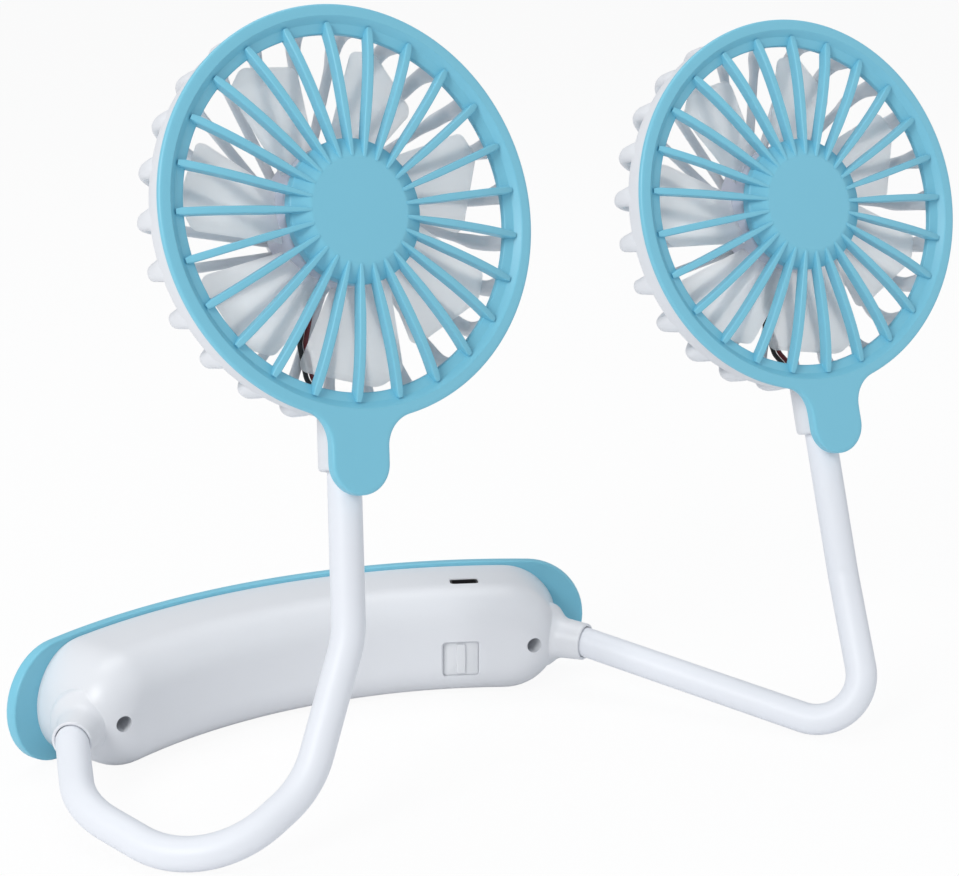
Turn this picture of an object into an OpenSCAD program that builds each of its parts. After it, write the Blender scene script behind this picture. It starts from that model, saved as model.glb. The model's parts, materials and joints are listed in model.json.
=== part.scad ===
// Hands-free neck fan: a curved battery pack, two bendable arms and two fan heads.
// Frame: +X along the pack to the right, +Y to the back, +Z up. The origin is on the
// pack's underside, half way along it and half way through its thickness.
// A fan head has its own frame: x right, y up, z out of the front; its neck runs along -y.

/* [Fan head] */
// Outer diameter of the front ring
ring_d = 96; // [88:1:108]
// Width of the flat front rim of the ring
rim_w = 2.7; // [2.2:0.1:3.4]
// Width of the recessed ledge inside the rim
ledge_w = 3.9; // [3.2:0.1:4.6]
// Width of the sloped wall between the rim and the ledge
slope_w = 1.6; // [1.2:0.1:1.9]
// Depth of the ledge below the rim
ledge_drop = 1.5; // [0.9:0.1:1.8]
// Slope of the ledge towards the opening
ledge_slope = 0.4; // [0.2:0.1:0.8]
// Thickness of the ring's outer flange
flange_t = 1.5; // [1.2:0.1:2]
// Depth of the ring's skirt inside the cage
ring_depth = 4; // [3.4:0.1:4.4]
// Number of spokes in the grille, and of ribs in the cage
spoke_count = 25; // [15:1:29]
// Height of a spoke's outer end above the ledge
spoke_end_rise = 0.9; // [0.4:0.1:1.2]
// Thickness of a grille spoke
spoke_w = 1.6; // [1:0.05:1.8]
// Depth of a grille spoke from front to back
spoke_depth = 3.4; // [2.6:0.1:4]
// Diameter of the raised disc on the grille hub
disc_d = 25; // [20:0.2:28]
// Height of the hub disc in front of the rim
disc_rise = 2.7; // [2:0.1:4]
// How far below the disc the spokes start
spoke_sink = 0.1; // [0.05:0.05:0.3]
// Diameter of the hub skirt
skirt_d = 33.8; // [32:0.2:36]
// Height of the hub shoulder in front of the rim
skirt_rise = 0.5; // [0.2:0.1:1]
// Depth of the hub skirt behind the rim
skirt_drop = 2.2; // [1.6:0.1:2.4]
// Wall of the grille hub
hub_wall = 1.2; // [1:0.1:1.4]
// Width of the tab below the ring
tab_w = 14.7; // [13:0.1:17]
// Distance from the ring's centre to the tab's end
tab_reach = 65; // [63:0.5:66]
// Thickness of the tab
tab_t = 2.8; // [2.2:0.1:2.9]
// Radius of the fillets between tab and ring
tab_fillet_r = 8; // [6:0.5:10]

/* [Rear cage] */
// Inset of the cage band from the ring's edge
band_inset = 0.8; // [0.5:0.1:1.2]
// Wall of the cage band
band_wall = 1.4; // [1.2:0.1:1.6]
// Back edge of the band, measured behind the rim
band_back = 8.2; // [7:0.1:9]
// Back of the cage ribs, measured behind the rim
cage_depth = 18.6; // [18.3:0.1:19]
// Thickness of a cage rib from front to back
rib_t = 2.2; // [1.9:0.1:2.4]
// Width of a cage rib
rib_w = 2.4; // [1.8:0.1:2.8]
// Radius of the ribs' outer corner
rib_corner_r = 5.5; // [4.5:0.1:6.5]
// Sideways offset of each rib from the fan's axis
rib_offset = 6; // [3:0.5:8]
// Wall of the motor seat at the centre of the cage
seat_wall = 2.3; // [1.8:0.1:3]
// Thickness of the motor seat's floor
seat_floor = 1.8; // [1.4:0.1:2.4]

/* [Motor and impeller] */
// Diameter of the motor can
motor_d = 24; // [22:0.2:24.6]
// Front of the motor can, measured behind the rim
motor_front = 7.6; // [7.4:0.1:8.4]
// Split between motor can and end cap, measured behind the rim
motor_split = 15.2; // [14.6:0.1:15.3]
// Back of the motor's end cap, measured behind the rim
motor_back = 19.4; // [19.2:0.1:20.4]
// Wall of the motor can
can_wall = 0.8; // [0.6:0.1:1]
// Diameter of the motor shaft
shaft_d = 2; // [1.6:0.1:2.4]
// Outer diameter of a bearing bush
bush_d = 5; // [4.4:0.1:5.6]
// Length of a bearing bush
bush_l = 1.8; // [1.4:0.1:2]
// Diameter of the wound armature on the shaft
armature_d = 17; // [14:0.5:19]
// Outer diameter of the impeller hub
rotor_hub_d = 33.4; // [30:0.2:35]
// Front of the impeller hub, measured behind the rim
rotor_front = 3.2; // [3:0.1:3.6]
// Back of the impeller hub, measured behind the rim
rotor_back = 14.6; // [13:0.1:14.7]
// Wall of the impeller hub
rotor_wall = 1.8; // [1.4:0.1:2]
// Number of impeller blades
blade_count = 7; // [5:1:8]
// Gap between the blade tips and the band of the cage
blade_gap = 4.8; // [3.5:0.1:8]
// Width of a blade at its tip
blade_w = 25; // [20:0.5:25]
// Thickness of a blade
blade_t = 1.2; // [0.9:0.1:1.4]
// Pitch angle of the blades
blade_pitch = 21; // [15:1:21]
// Depth of the blades' radial line behind the rim
blade_mid = 8.6; // [8.2:0.1:8.6]

/* [Arms] */
// Outer diameter of the arm sleeve
tube_d = 8; // [7:0.1:8.6]
// Outer diameter of the steel gooseneck inside
core_d = 4.4; // [3.6:0.1:4.8]
// Bore of the steel gooseneck
core_bore_d = 2.5; // [2.3:0.1:2.9]
// Diameter of the cable inside the gooseneck
cable_d = 2; // [1.4:0.1:2.1]
// Distance of the neck tube's axis behind the ring's rim
neck_back = 9; // [8.8:0.1:9.6]
// Diameter of the neck socket on the cage
socket_d = 12; // [11.4:0.1:12.2]
// Distance from the ring's centre to the socket's end
socket_reach = 59; // [57:0.5:60]
// Distance from the ring's centre to the nod bend of the neck
nod_reach = 71; // [70:0.5:73]
// Distance from the nod bend to the side bend of the neck
neck_step = 13; // [12:0.5:16]
// Straight length of the neck below its side bend, before its first curve
neck_straight = 13; // [12:0.5:20]
// Radius of the left arm's curves
left_bend_r = 24; // [18:0.5:25]
// Radius of the right arm's curves
right_bend_r = 11.5; // [9:0.5:12]

/* [Arm layout] */
// Left fan: centre of its rim
left_fan_at = [-5.7, -55.4, 140.8]; // [-160:0.1:160]
// Left fan: yaw, upward tilt and roll
left_fan_turn = [4.8, 17, -8.5]; // [-20:0.1:20]
// Right fan: centre of its rim
right_fan_at = [121.3, -54.9, 133.5]; // [-160:0.1:160]
// Right fan: yaw, upward tilt and roll
right_fan_turn = [-1.8, 16.4, 2.5]; // [-20:0.1:20]
// Left arm: first corner, from the tip of its collar
left_corner_1 = [-6.1, -24.2, -5.8]; // [-40:0.1:40]
// Left arm: low corner, from the first one, whose height follows the table
left_corner_2 = [17.8, -33.1]; // [-40:0.1:40]
// Left arm: drop of the low corner below the tube's resting height
left_low_drop = 3.1; // [2.6:0.05:3.6]
// Left arm: third corner, from the low one
left_corner_3 = [26.5, 3.4, 15.4]; // [-40:0.1:40]
// Right arm: low corner, from the tip of its collar
right_corner_1 = [46.6, -66.9]; // [-80:0.1:80]
// Right arm: drop of the low corner below the tube's resting height
right_low_drop = 2.75; // [2.3:0.05:3.2]
// Place of the left elbow along its straight stretch
left_elbow_share = 0.55; // [0.5:0.01:0.6]
// Place of the right elbow along its straight stretch
right_elbow_share = 0.68; // [0.62:0.01:0.75]

/* [Pack] */
// Radius of the pack's curve, at the middle of its thickness
bend_r = 126; // [115:1:145]
// Thickness of the pack, with its cover
pack_t = 28; // [27:0.5:31]
// Height of the white shell
shell_h = 30; // [28:0.5:33]
// Height by which the cover stands above the shell
cover_lip = 1; // [0.6:0.1:1.6]
// Thickness of the blue back cover
cover_t = 3.5; // [3:0.1:4]
// Half angle of the shell, to the centre of its round end
shell_half_angle = 26.5; // [25.5:0.1:27]
// Half angle of the cover, to the centre of its round end
cover_half_angle = 29.5; // [28.6:0.1:30.2]
// Radius of the shell's front edges
edge_r = 10; // [7:0.5:11]
// Rounding of the cover's outer edge
cover_edge_r = 1.2; // [0.8:0.1:1.5]
// Wall of the shell
shell_wall = 2; // [1.6:0.1:2.2]
// Right collar's tip, seen from above, from the centre of the shell's round end
collar_tip_at = [15.28, -18.26]; // [-20:0.01:20]
// Angle between the collar and the front-to-back direction
collar_angle = 33; // [30:1:36]
// Length of the collar
collar_l = 10; // [9:0.5:11]
// Diameter of the collar at its tip
collar_tip_d = 9.8; // [9.4:0.1:10.6]
// Diameter of the collar at its base
collar_base_d = 12.8; // [11.8:0.1:14]
// Distance of the cover screws from the pack's middle
screw_x = 57.5; // [56.8:0.1:58]

/* [Pack contents] */
// Diameter of the battery cell
cell_d = 18; // [16:0.2:18.4]
// Length of the battery cell
cell_l = 50; // [44:0.5:52]
// Angle of the cell's middle along the pack
cell_angle = -6.5; // [-8:0.5:-5]
// Angle of the circuit board along the pack
board_angle = 21.5; // [20.5:0.1:22]
// Width of the circuit board
board_w = 20; // [18:0.5:20.5]
// Height of the circuit board
board_h = 22; // [21:0.5:23]
// Thickness of the circuit board
board_t = 1.2; // [0.8:0.1:1.6]
// Side of the square button
button_w = 9.2; // [8.4:0.1:9.6]
// Height of the button's middle above the underside
button_z = 11.5; // [11:0.1:12.5]
// Travel of the button
button_travel = 0.5; // [0.3:0.05:0.5]
// Width of the charge socket
usb_w = 7.5; // [7:0.1:7.8]
// Thickness of the charge socket
usb_t = 2.7; // [2.5:0.1:2.9]

/* [Hidden] */
$fn = 64;

// Overrun of every cut past the face it opens
over = 0.5;
// Gap between pieces that touch loosely in one body
seat_gap = 0.15;
// Radial gap of a round piece held tight in its seat
press_gap = 0.05;
// Radial gap of a shaft in its bush
running_gap = 0.04;

// Bending places: gap round the ball, and how far the tube's end stops short of the ball's centre
cup_gap = 0.3;
cup_rim = 2.2;
// How much smaller the ball is than its tube
ball_step = 0.1;
// Where the core and cable stop short of a ball's centre, and start inside it
core_short = 4.7;
core_in_ball = 3;
// How much wider than the tube the balls inside its curves are
join_rise = 0.015;
// Depth of the arm's end inside the neck socket
tip_depth = 8.8;

tube_r = tube_d / 2;
core_r = core_d / 2;
core_bore_r = core_bore_d / 2;
cable_r = cable_d / 2;
sleeve_bore_r = core_r + seat_gap / 2;
ball_r = tube_r - ball_step;
cup_r = tube_r + cup_gap;

ring_r = ring_d / 2;
rim_inner_r = ring_r - rim_w;
opening_r = rim_inner_r - ledge_w;
band_r = ring_r - band_inset;
band_inner_r = band_r - band_wall;
disc_r = disc_d / 2;
skirt_r = skirt_d / 2;
tab_r = tab_w / 2;
tab_root_r = ring_r - band_inset / 2;
socket_r = socket_d / 2;

// The front line of a spoke falls from the disc to the ledge by this power of the radius
dome_power = 3.4;
// Where a spoke ends on the ring, as a share of the way from the opening to the rim
spoke_end_share = 0.45;
spoke_end_r = opening_r + ledge_w * spoke_end_share;
// Straight lengths in a spoke's front line
spoke_steps = 8;

// Rear cage: the ribs' ends reach up into the band by the hook
rib_outer_r = band_r - band_wall / 2;
rib_hook = 1.6;
rib_inner_z = cage_depth - rib_t;
motor_r = motor_d / 2;
seat_r = motor_r + seat_gap;
seat_outer_r = seat_r + seat_wall;
// Floor of the motor's cap, and the room for the armature at both its ends
cap_t = 2;
armature_gap = 0.9;
// Radius of the blade tips
rotor_r = band_inner_r - blade_gap;
// Top of the solid block at the root of the neck socket, just outside the blade tips
tip_clear = 1.2;
block_top = rotor_r + tip_clear;
// Channel for the motor's wires in that block
channel_w = 3.6;
channel_back = cage_depth - rib_t / 2;
shaft_r = shaft_d / 2;
bush_r = bush_d / 2;
// Back of the impeller's boss, clear of the front bush
boss_clear = 0.65;
boss_back = motor_front + can_wall + seat_gap - bush_l - boss_clear;

// Screws that hold a motor in its seat
small_screw_r = 0.8;
small_head_r = 1.5;
small_head_t = 0.8;
motor_screw_reach = 7;
motor_screw_bite = 1.6;

// Wires: how many times wider than the wire their corner balls are
corner_swell = 1.5;
// A cable laid in chords: the turn at each corner, and its balls' width
chord_angle = 15;
chord_swell = 1.04;
// Thin leads and the step from one to the next
lead_r = 0.5;
lead_step = 1.7;
lead_height = rib_inner_z - lead_r * corner_swell - seat_gap / 2;
// Where a motor wire turns forward, as a share of the block's height
lead_bend_share = 0.33;

// Pack
shell_front_r = bend_r - pack_t / 2;
hollow_r = shell_front_r + shell_wall;
cover_back_r = bend_r + pack_t / 2;
parting_r = cover_back_r - cover_t;
cover_h = shell_h + cover_lip;
mid_h = shell_h / 2;
collar_z = mid_h - cover_lip / 2;
collar_base_r = collar_base_d / 2;
collar_tip_r = collar_tip_d / 2;
// Fixed root of each gooseneck inside its collar, and the ring that holds it
core_root_l = 15.2;
ferrule_l = 2.5;
ferrule_from = 15.1;
ferrule_r = 2.9;

// Cover screws, in the tubes of the shell and the bosses of the cover
screw_r = 1;
screw_head_r = 1.9;
screw_head_t = 1.4;
// Places along a screw, from the pack's middle line, which it crosses at screw_y
screw_y = sqrt(pow(bend_r, 2) - pow(screw_x, 2)) - bend_r;
screw_seat_in = 6.1;
screw_split_in = 0.1;
screw_tip_out = 7.9;
screw_seat_y = screw_y - screw_seat_in;
screw_split_y = screw_y - screw_split_in;
screw_tip_y = screw_y + screw_tip_out;
screw_tube_r = 3.2;
boss_r = 2.6;
boss_root_out = 13.1;
boss_root_y = screw_y + boss_root_out;

// Board, switch and socket, in the board's own frame: x along the pack, y outwards, z up
// The board's front face lies this far behind the shell's front
board_in = 8.4;
board_r = shell_front_r + board_in;
board_shift = -1;
board_low = 4;
post_r = 2.2;
post_high = 22.5;
post_x = [-8.8, 6.8];
board_screw_r = 0.9;
board_head_r = 1.8;
board_head_t = 1.2;
board_screw_tip = 4.4;
usb_h = 5.5;
usb_recess = 1.1;
usb_sheet = 0.3;
usb_slot_w = 8.4;
usb_slot_t = 4.2;
tongue_w_share = 0.66;
tongue_h_share = 0.7;
switch_w = 6;
switch_h = 3.4;
plunger_r = 1.7;
plunger_h = 0.7;

// Power button with its raised rib, its two ears behind the wall and its stem
button_x = -2;
button_gap = 0.3;
button_recess = 1.3;
button_rib_w = 2.2;
button_rib_rise = 0.8;
button_rib_share = 0.9;
ear_w = 0.9;
ear_t = 0.8;
ear_gap = 0.4;
ear_share = 0.5;
stem_r = 1.5;

// Battery cradle
cell_r = cell_d / 2;
// The cell's axis lies this far in front of the pack's middle line
cell_in = 2;
cell_at_r = bend_r - cell_in;
cradle_t = 1.6;
cradle_x = 14;
cradle_h = 20;

// Cables inside the pack
floor_z = shell_wall + cable_r * corner_swell + seat_gap;
roof_z = shell_h - shell_wall - lead_r * corner_swell - seat_gap;
cable_back = board_r + board_t + cable_r * corner_swell + seat_gap;
cable_drop = 1.7;
// Where the arms' cables pass round the screw tubes, and where the left one crosses the pack
cable_turn_angle = 27.2;
cable_turn_out = 3;
cable_cross_angles = [-14, 6];
// Where wires end on the board, as shares of its width and height
wire_end_share = 0.42;
cable_end_share = 0.3;
lead_end_shares = [0.255, 0.185];
// How far outside the cell's axis its leads lie
lead_out = 2;

// Vectors

function unit(v) = v / norm(v);
function spin_z(v, a) = [v.x * cos(a) - v.y * sin(a), v.x * sin(a) + v.y * cos(a), v.z];
function spin_x(v, a) = [v.x, v.y * cos(a) - v.z * sin(a), v.y * sin(a) + v.z * cos(a)];
function square_to(v, d) = unit(v - (v * d) * d);

// A direction and a point of a fan head in the pack's frame; head = [centre, turn]
function head_dir(head, v) = spin_z(spin_x(spin_z(v, head[1].z), 90 - head[1].y), head[1].x);
function head_point(head, p) = head[0] + head_dir(head, p);

// A point of the pack from its radius, angle and height
function pack_point(r, a, z) = [r * sin(a), r * cos(a) - bend_r, z];

// A point of the board's frame
function board_point(p) = spin_z([p.x, p.y, p.z], -board_angle) - [0, bend_r, 0];

left_head = [left_fan_at, left_fan_turn];
right_head = [right_fan_at, right_fan_turn];

// Overlap of the two halves of a pack piece past its middle
half_overlap = 2;

// Collars
function collar_dir(side) = [side * sin(collar_angle), -cos(collar_angle), 0];
function collar_tip(side) =
    let (end = pack_point(bend_r, shell_half_angle, collar_z))
    [side * (end.x + collar_tip_at.x), end.y + collar_tip_at.y, collar_z];

// Points of the neck, at a distance below the ring's centre
function neck_point(head, reach) = head_point(head, [0, -reach, -neck_back]);

// Corner points of each arm from its collar to its neck
left_p0 = collar_tip(-1);
left_p1 = left_p0 + left_corner_1;
left_p2 = [left_p1.x + left_corner_2.x, left_p1.y + left_corner_2.y, tube_r - left_low_drop];
left_p3 = left_p2 + left_corner_3;
left_p4 = neck_point(left_head, nod_reach + neck_step + neck_straight);
right_p0 = collar_tip(1);
right_p1 = [right_p0.x + right_corner_1.x, right_p0.y + right_corner_1.y, tube_r - right_low_drop];
right_p2 = neck_point(right_head, nod_reach + neck_step + neck_straight);

// Bending places: collar, elbow, side bend and nod bend
left_elbow = left_p3 + left_elbow_share * (left_p4 - left_p3);
right_elbow = right_p1 + right_elbow_share * (right_p2 - right_p1);
left_side = neck_point(left_head, nod_reach + neck_step);
right_side = neck_point(right_head, nod_reach + neck_step);
left_nod = neck_point(left_head, nod_reach);
right_nod = neck_point(right_head, nod_reach);
left_elbow_axis = square_to([1, 0, 0], unit(left_p4 - left_p3));
right_elbow_axis = square_to([1, 0, 0], unit(right_p2 - right_p1));

// Hinge points and axes, for whoever poses the model
echo(left_base = left_p0, left_elbow = left_elbow, left_elbow_axis = left_elbow_axis);
echo(left_side = left_side, left_nod = left_nod, left_face = head_dir(left_head, [0, 0, 1]));
echo(left_across = head_dir(left_head, [1, 0, 0]), left_rotor = left_fan_at);
echo(right_base = right_p0, right_elbow = right_elbow, right_elbow_axis = right_elbow_axis);
echo(right_side = right_side, right_nod = right_nod, right_face = head_dir(right_head, [0, 0, 1]));
echo(right_across = head_dir(right_head, [1, 0, 0]), right_rotor = right_fan_at);
echo(button_axis = board_point([0, 1, 0]) + [0, bend_r, 0]);

// Placing

module at_head(head) {
    translate(head[0]) rotate([90 - head[1].y, 0, head[1].x]) rotate([0, 0, head[1].z]) children();
}

module at_board() {
    translate([0, -bend_r, 0]) rotate([0, 0, -board_angle]) children();
}

module at_cell() {
    translate([0, -bend_r, 0]) rotate([0, 0, -cell_angle]) translate([0, cell_at_r, mid_h]) children();
}

// Stands the children's z axis along d, with their x axis along a, at point p
module stand(p, a, d) {
    b = cross(d, a);
    multmatrix([[a.x, b.x, d.x, p.x], [a.y, b.y, d.y, p.y], [a.z, b.z, d.z, p.z], [0, 0, 0, 1]])
        children();
}

// A direction square to d; a steep d is crossed with the x axis
steep_share = 0.9;
function across(d) = unit(cross(abs(d.z) < steep_share ? [0, 0, 1] : [1, 0, 0], d));

// Tubes along corner points with rounded corners

function turn_angle(u, v) = acos(max(-1, min(1, u * v)));
function tangent_l(u, v, r) = r * tan(turn_angle(u, v) / 2);

module straight_run(a, b, r) {
    d = unit(b - a);
    stand(a, across(d), d) cylinder(r = r, h = norm(b - a));
}

module curved_run(corner, u, v, bend, r) {
    start = corner - u * tangent_l(u, v, bend);
    w = square_to(v, u);
    centre = start + w * bend;
    stand(centre, -w, cross(u, w))
        rotate_extrude(angle = turn_angle(u, v)) translate([bend, 0]) circle(r = r);
}

// Straight and curved lengths meet inside a ball that is hardly wider than they are
module run(points, bend, r) {
    last = len(points) - 1;
    way = [for (i = [0:last - 1]) unit(points[i + 1] - points[i])];
    for (i = [0:last - 1]) {
        from = i == 0 ? points[0] : points[i] + way[i] * (tangent_l(way[i - 1], way[i], bend) + join_rise);
        to = i == last - 1 ? points[last]
            : points[i + 1] - way[i] * (tangent_l(way[i], way[i + 1], bend) + join_rise);
        straight_run(from, to, r);
    }
    for (i = [1:1:last - 1]) {
        curved_run(points[i], way[i - 1], way[i], bend, r);
        for (d = [-way[i - 1], way[i]])
            translate(points[i] + d * tangent_l(way[i - 1], way[i], bend)) sphere(r = r + join_rise);
    }
}

// A wire of straight lengths with a ball at each corner
module wire(points, r, swell = corner_swell) {
    for (i = [1:len(points) - 1]) straight_run(points[i - 1], points[i], r);
    for (i = [1:1:len(points) - 2]) translate(points[i]) sphere(r = r * swell);
}

// Corner points with every corner rounded into short chords
function chord_points(corner, u, v, bend) =
    let (w = square_to(v, u), centre = corner - u * tangent_l(u, v, bend) + w * bend,
        count = ceil(turn_angle(u, v) / chord_angle), step = turn_angle(u, v) / count)
    [for (i = [0:count]) centre + bend * (u * sin(i * step) - w * cos(i * step))];

function bent(points, bend) =
    let (way = [for (i = [1:len(points) - 1]) unit(points[i] - points[i - 1])],
        turns = [for (i = [1:1:len(points) - 2]) each chord_points(points[i], way[i - 1], way[i], bend)])
    concat([points[0]], turns, [points[len(points) - 1]]);

// Moves the ends of a list of corner points along its first and last stretch
function trimmed(points, head_cut, tail_cut) =
    let (last = len(points) - 1)
    [for (i = [0:last])
        i == 0 ? points[0] + unit(points[1] - points[0]) * head_cut
        : i == last ? points[last] - unit(points[last] - points[last - 1]) * tail_cut
        : points[i]];

// One length of sleeve: a ball at its pack end and a cup at its far end
module sleeve(points, bend, cupped) {
    difference() {
        union() {
            run(trimmed(points, 0, cupped ? cup_rim : 0), bend, tube_r);
            translate(points[0]) sphere(r = ball_r);
        }
        run(trimmed(points, -tube_r - over, -over), bend, sleeve_bore_r);
        if (cupped) translate(points[len(points) - 1]) sphere(r = cup_r);
    }
}

module core(points, bend, cupped) {
    difference() {
        run(trimmed(points, -core_in_ball, cupped ? core_short : 0), bend, core_r);
        run(trimmed(points, -core_in_ball - over, cupped ? core_short - over : -over), bend, core_bore_r);
    }
}

module cable(points, bend, cupped) {
    run(trimmed(points, -core_in_ball, cupped ? core_short : 0), bend, cable_r);
}

left_lower = [left_p0, left_p1, left_p2, left_p3, left_elbow];
left_upper = [left_elbow, left_p4, left_side];
left_neck = [left_side, left_nod];
left_tip = [left_nod, neck_point(left_head, socket_reach - tip_depth)];
right_lower = [right_p0, right_p1, right_elbow];
right_upper = [right_elbow, right_p2, right_side];
right_neck = [right_side, right_nod];
right_tip = [right_nod, neck_point(right_head, socket_reach - tip_depth)];

// Fan head pieces, in the head's frame

function dome_z(r) =
    let (top = disc_rise - spoke_sink, fall = top + ledge_drop - spoke_end_rise)
    top - fall * pow((r - disc_r) / (spoke_end_r - disc_r), dome_power);

module grille_ring() {
    rotate_extrude() polygon([
        [ring_r, 0], [ring_r, -flange_t], [band_inner_r - seat_gap, -flange_t],
        [band_inner_r - seat_gap, -ring_depth], [opening_r, -ring_depth],
        [opening_r, -ledge_drop - ledge_slope], [rim_inner_r - slope_w, -ledge_drop], [rim_inner_r, 0]]);
}

module grille_spoke() {
    step = (spoke_end_r - disc_r) / spoke_steps;
    along = [for (i = [0:spoke_steps]) disc_r + i * step];
    front = [for (r = along) [r, dome_z(r)]];
    foot = [spoke_end_r, -(ledge_drop + ring_depth) / 2];
    back = [for (i = [spoke_steps - 1:-1:0]) if (along[i] > skirt_r)
        [along[i], dome_z(along[i]) - spoke_depth]];
    root = [for (at = [[skirt_r, skirt_rise], [disc_r, disc_rise]]) at - [hub_wall / 2, hub_wall / 2]];
    rotate([90, 0, 0]) linear_extrude(spoke_w, center = true) polygon(concat(front, [foot], back, root));
}

module grille_hub() {
    rotate_extrude() polygon([
        [0, disc_rise], [disc_r, disc_rise], [skirt_r, skirt_rise], [skirt_r, -skirt_drop],
        [skirt_r - hub_wall, -skirt_drop], [skirt_r - hub_wall, skirt_rise - hub_wall],
        [disc_r - hub_wall, disc_rise - hub_wall], [0, disc_rise - hub_wall]]);
}

module tab_fillet_2d() {
    far = ring_r + tab_fillet_r;
    centre = [tab_r + tab_fillet_r, -sqrt(pow(far, 2) - pow(tab_r + tab_fillet_r, 2))];
    difference() {
        polygon([[0, -band_r], centre * tab_root_r / far, centre, [tab_r, centre.y], [0, centre.y]]);
        translate(centre) circle(r = tab_fillet_r);
    }
}

module grille_tab() {
    translate([0, 0, -tab_t]) linear_extrude(tab_t) difference() {
        union() {
            translate([-tab_r, tab_r - tab_reach]) square([tab_w, tab_reach - tab_r]);
            translate([0, tab_r - tab_reach]) circle(r = tab_r);
            tab_fillet_2d();
            mirror([1, 0]) tab_fillet_2d();
        }
        circle(r = tab_root_r);
    }
}

module front_grille() {
    grille_ring();
    grille_tab();
    grille_hub();
    for (i = [0:spoke_count - 1]) rotate([0, 0, i * 360 / spoke_count - 90]) grille_spoke();
}

// Outline of the ribs' bowl from the axis to its rounded outer corner
module bowl_2d(r, depth, corner) {
    translate([0, -depth]) square([r - corner, depth - band_back + rib_hook]);
    translate([0, corner - depth]) square([r, depth - corner - band_back + rib_hook]);
    translate([r - corner, corner - depth]) circle(r = corner);
}

module cage_ribs() {
    intersection() {
        rotate_extrude() difference() {
            bowl_2d(rib_outer_r, cage_depth, rib_corner_r);
            translate([0, over]) bowl_2d(rib_outer_r - rib_t, rib_inner_z + over, rib_corner_r - rib_t);
            translate([0, -cage_depth - over]) square([seat_r + seat_wall / 2, cage_depth]);
        }
        for (i = [0:spoke_count - 1]) rotate([0, 0, (i + 0.5) * 360 / spoke_count - 90])
            translate([seat_r / 2, rib_offset - rib_w / 2, -cage_depth - over])
                cube([ring_r, rib_w, cage_depth]);
    }
}

module cage_band() {
    rotate_extrude() translate([band_inner_r, -band_back]) square([band_wall, band_back - flange_t]);
}

module motor_seat() {
    rotate_extrude() polygon([
        [seat_r, -rib_inner_z], [seat_outer_r, -rib_inner_z], [seat_outer_r, -motor_back - seat_floor],
        [bush_r, -motor_back - seat_floor], [bush_r, -motor_back], [seat_r, -motor_back]]);
}

module neck_socket() {
    difference() {
        translate([0, -block_top, -neck_back]) rotate([90, 0, 0])
            cylinder(r = socket_r, h = socket_reach - block_top);
        translate([0, 0, -ring_depth - seat_gap])
            cylinder(r = band_inner_r + band_wall / 4, h = ring_depth + over);
    }
}

module rear_cage() {
    channel_l = socket_reach - tip_depth - rotor_r + over;
    channel_h = channel_back - neck_back + cable_r + seat_gap;
    difference() {
        union() {
            cage_band();
            cage_ribs();
            motor_seat();
            neck_socket();
        }
        translate([0, over - socket_reach + tip_depth + seat_gap, -neck_back]) rotate([90, 0, 0])
            cylinder(r = tube_r + press_gap, h = tip_depth + seat_gap + 2 * over);
        translate([-channel_w / 2, seat_gap - socket_reach + tip_depth, -channel_back])
            cube([channel_w, channel_l, channel_h]);
        for (side = [-1, 1]) translate([side * motor_screw_reach, 0, -motor_back - seat_floor - over])
            cylinder(r = small_screw_r + seat_gap / 2, h = seat_floor + 2 * over);
    }
}

// Outline of one blade: a straight leading edge, a slanted tip and a trailing side that widens outwards
blade_lead_share = 0.39;
blade_root_share = 0.55;
blade_slant_share = 0.28;
blade_corner_share = 0.24;
blade_heel_share = 0.1;
blade_corner_steps = 5;
blade_inset = 1;
blade_tip_inset = 0.3;
blade_phase = 21;

function corner_arc(c, r, from) =
    [for (i = [0:blade_corner_steps])
        let (a = from + 90 * i / blade_corner_steps)
        c + r * [cos(a), sin(a)]];

module blade_2d() {
    root_x = rotor_hub_d / 2 - blade_inset;
    tip_x = rotor_r - blade_tip_inset;
    lead = blade_w * blade_lead_share;
    corner = blade_w * blade_corner_share;
    heel = blade_w * blade_heel_share;
    polygon(concat(
        [[root_x, lead - blade_w * blade_root_share]],
        corner_arc([tip_x - blade_w * blade_slant_share - heel, lead - blade_w + heel], heel, -90),
        corner_arc([tip_x - corner, lead - corner], corner, 0),
        [[root_x, lead]]));
}

module impeller() {
    rotate_extrude() polygon([
        [shaft_r, -rotor_front], [rotor_hub_d / 2, -rotor_front], [rotor_hub_d / 2, -rotor_back],
        [rotor_hub_d / 2 - rotor_wall, -rotor_back], [rotor_hub_d / 2 - rotor_wall, -rotor_front - rotor_wall],
        [bush_r, -rotor_front - rotor_wall], [bush_r, -boss_back], [shaft_r, -boss_back]]);
    intersection() {
        for (i = [0:blade_count - 1]) rotate([0, 0, i * 360 / blade_count + blade_phase])
            translate([0, 0, -blade_mid]) rotate([blade_pitch, 0, 0])
                linear_extrude(blade_t, center = true) blade_2d();
        translate([0, 0, -cage_depth]) cylinder(r = rotor_r, h = cage_depth);
    }
}

module motor_can() {
    rotate_extrude() polygon([
        [bush_r + press_gap, -motor_front], [motor_r, -motor_front], [motor_r, -motor_split],
        [motor_r - can_wall, -motor_split], [motor_r - can_wall, -motor_front - can_wall],
        [bush_r + press_gap, -motor_front - can_wall]]);
}

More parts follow.
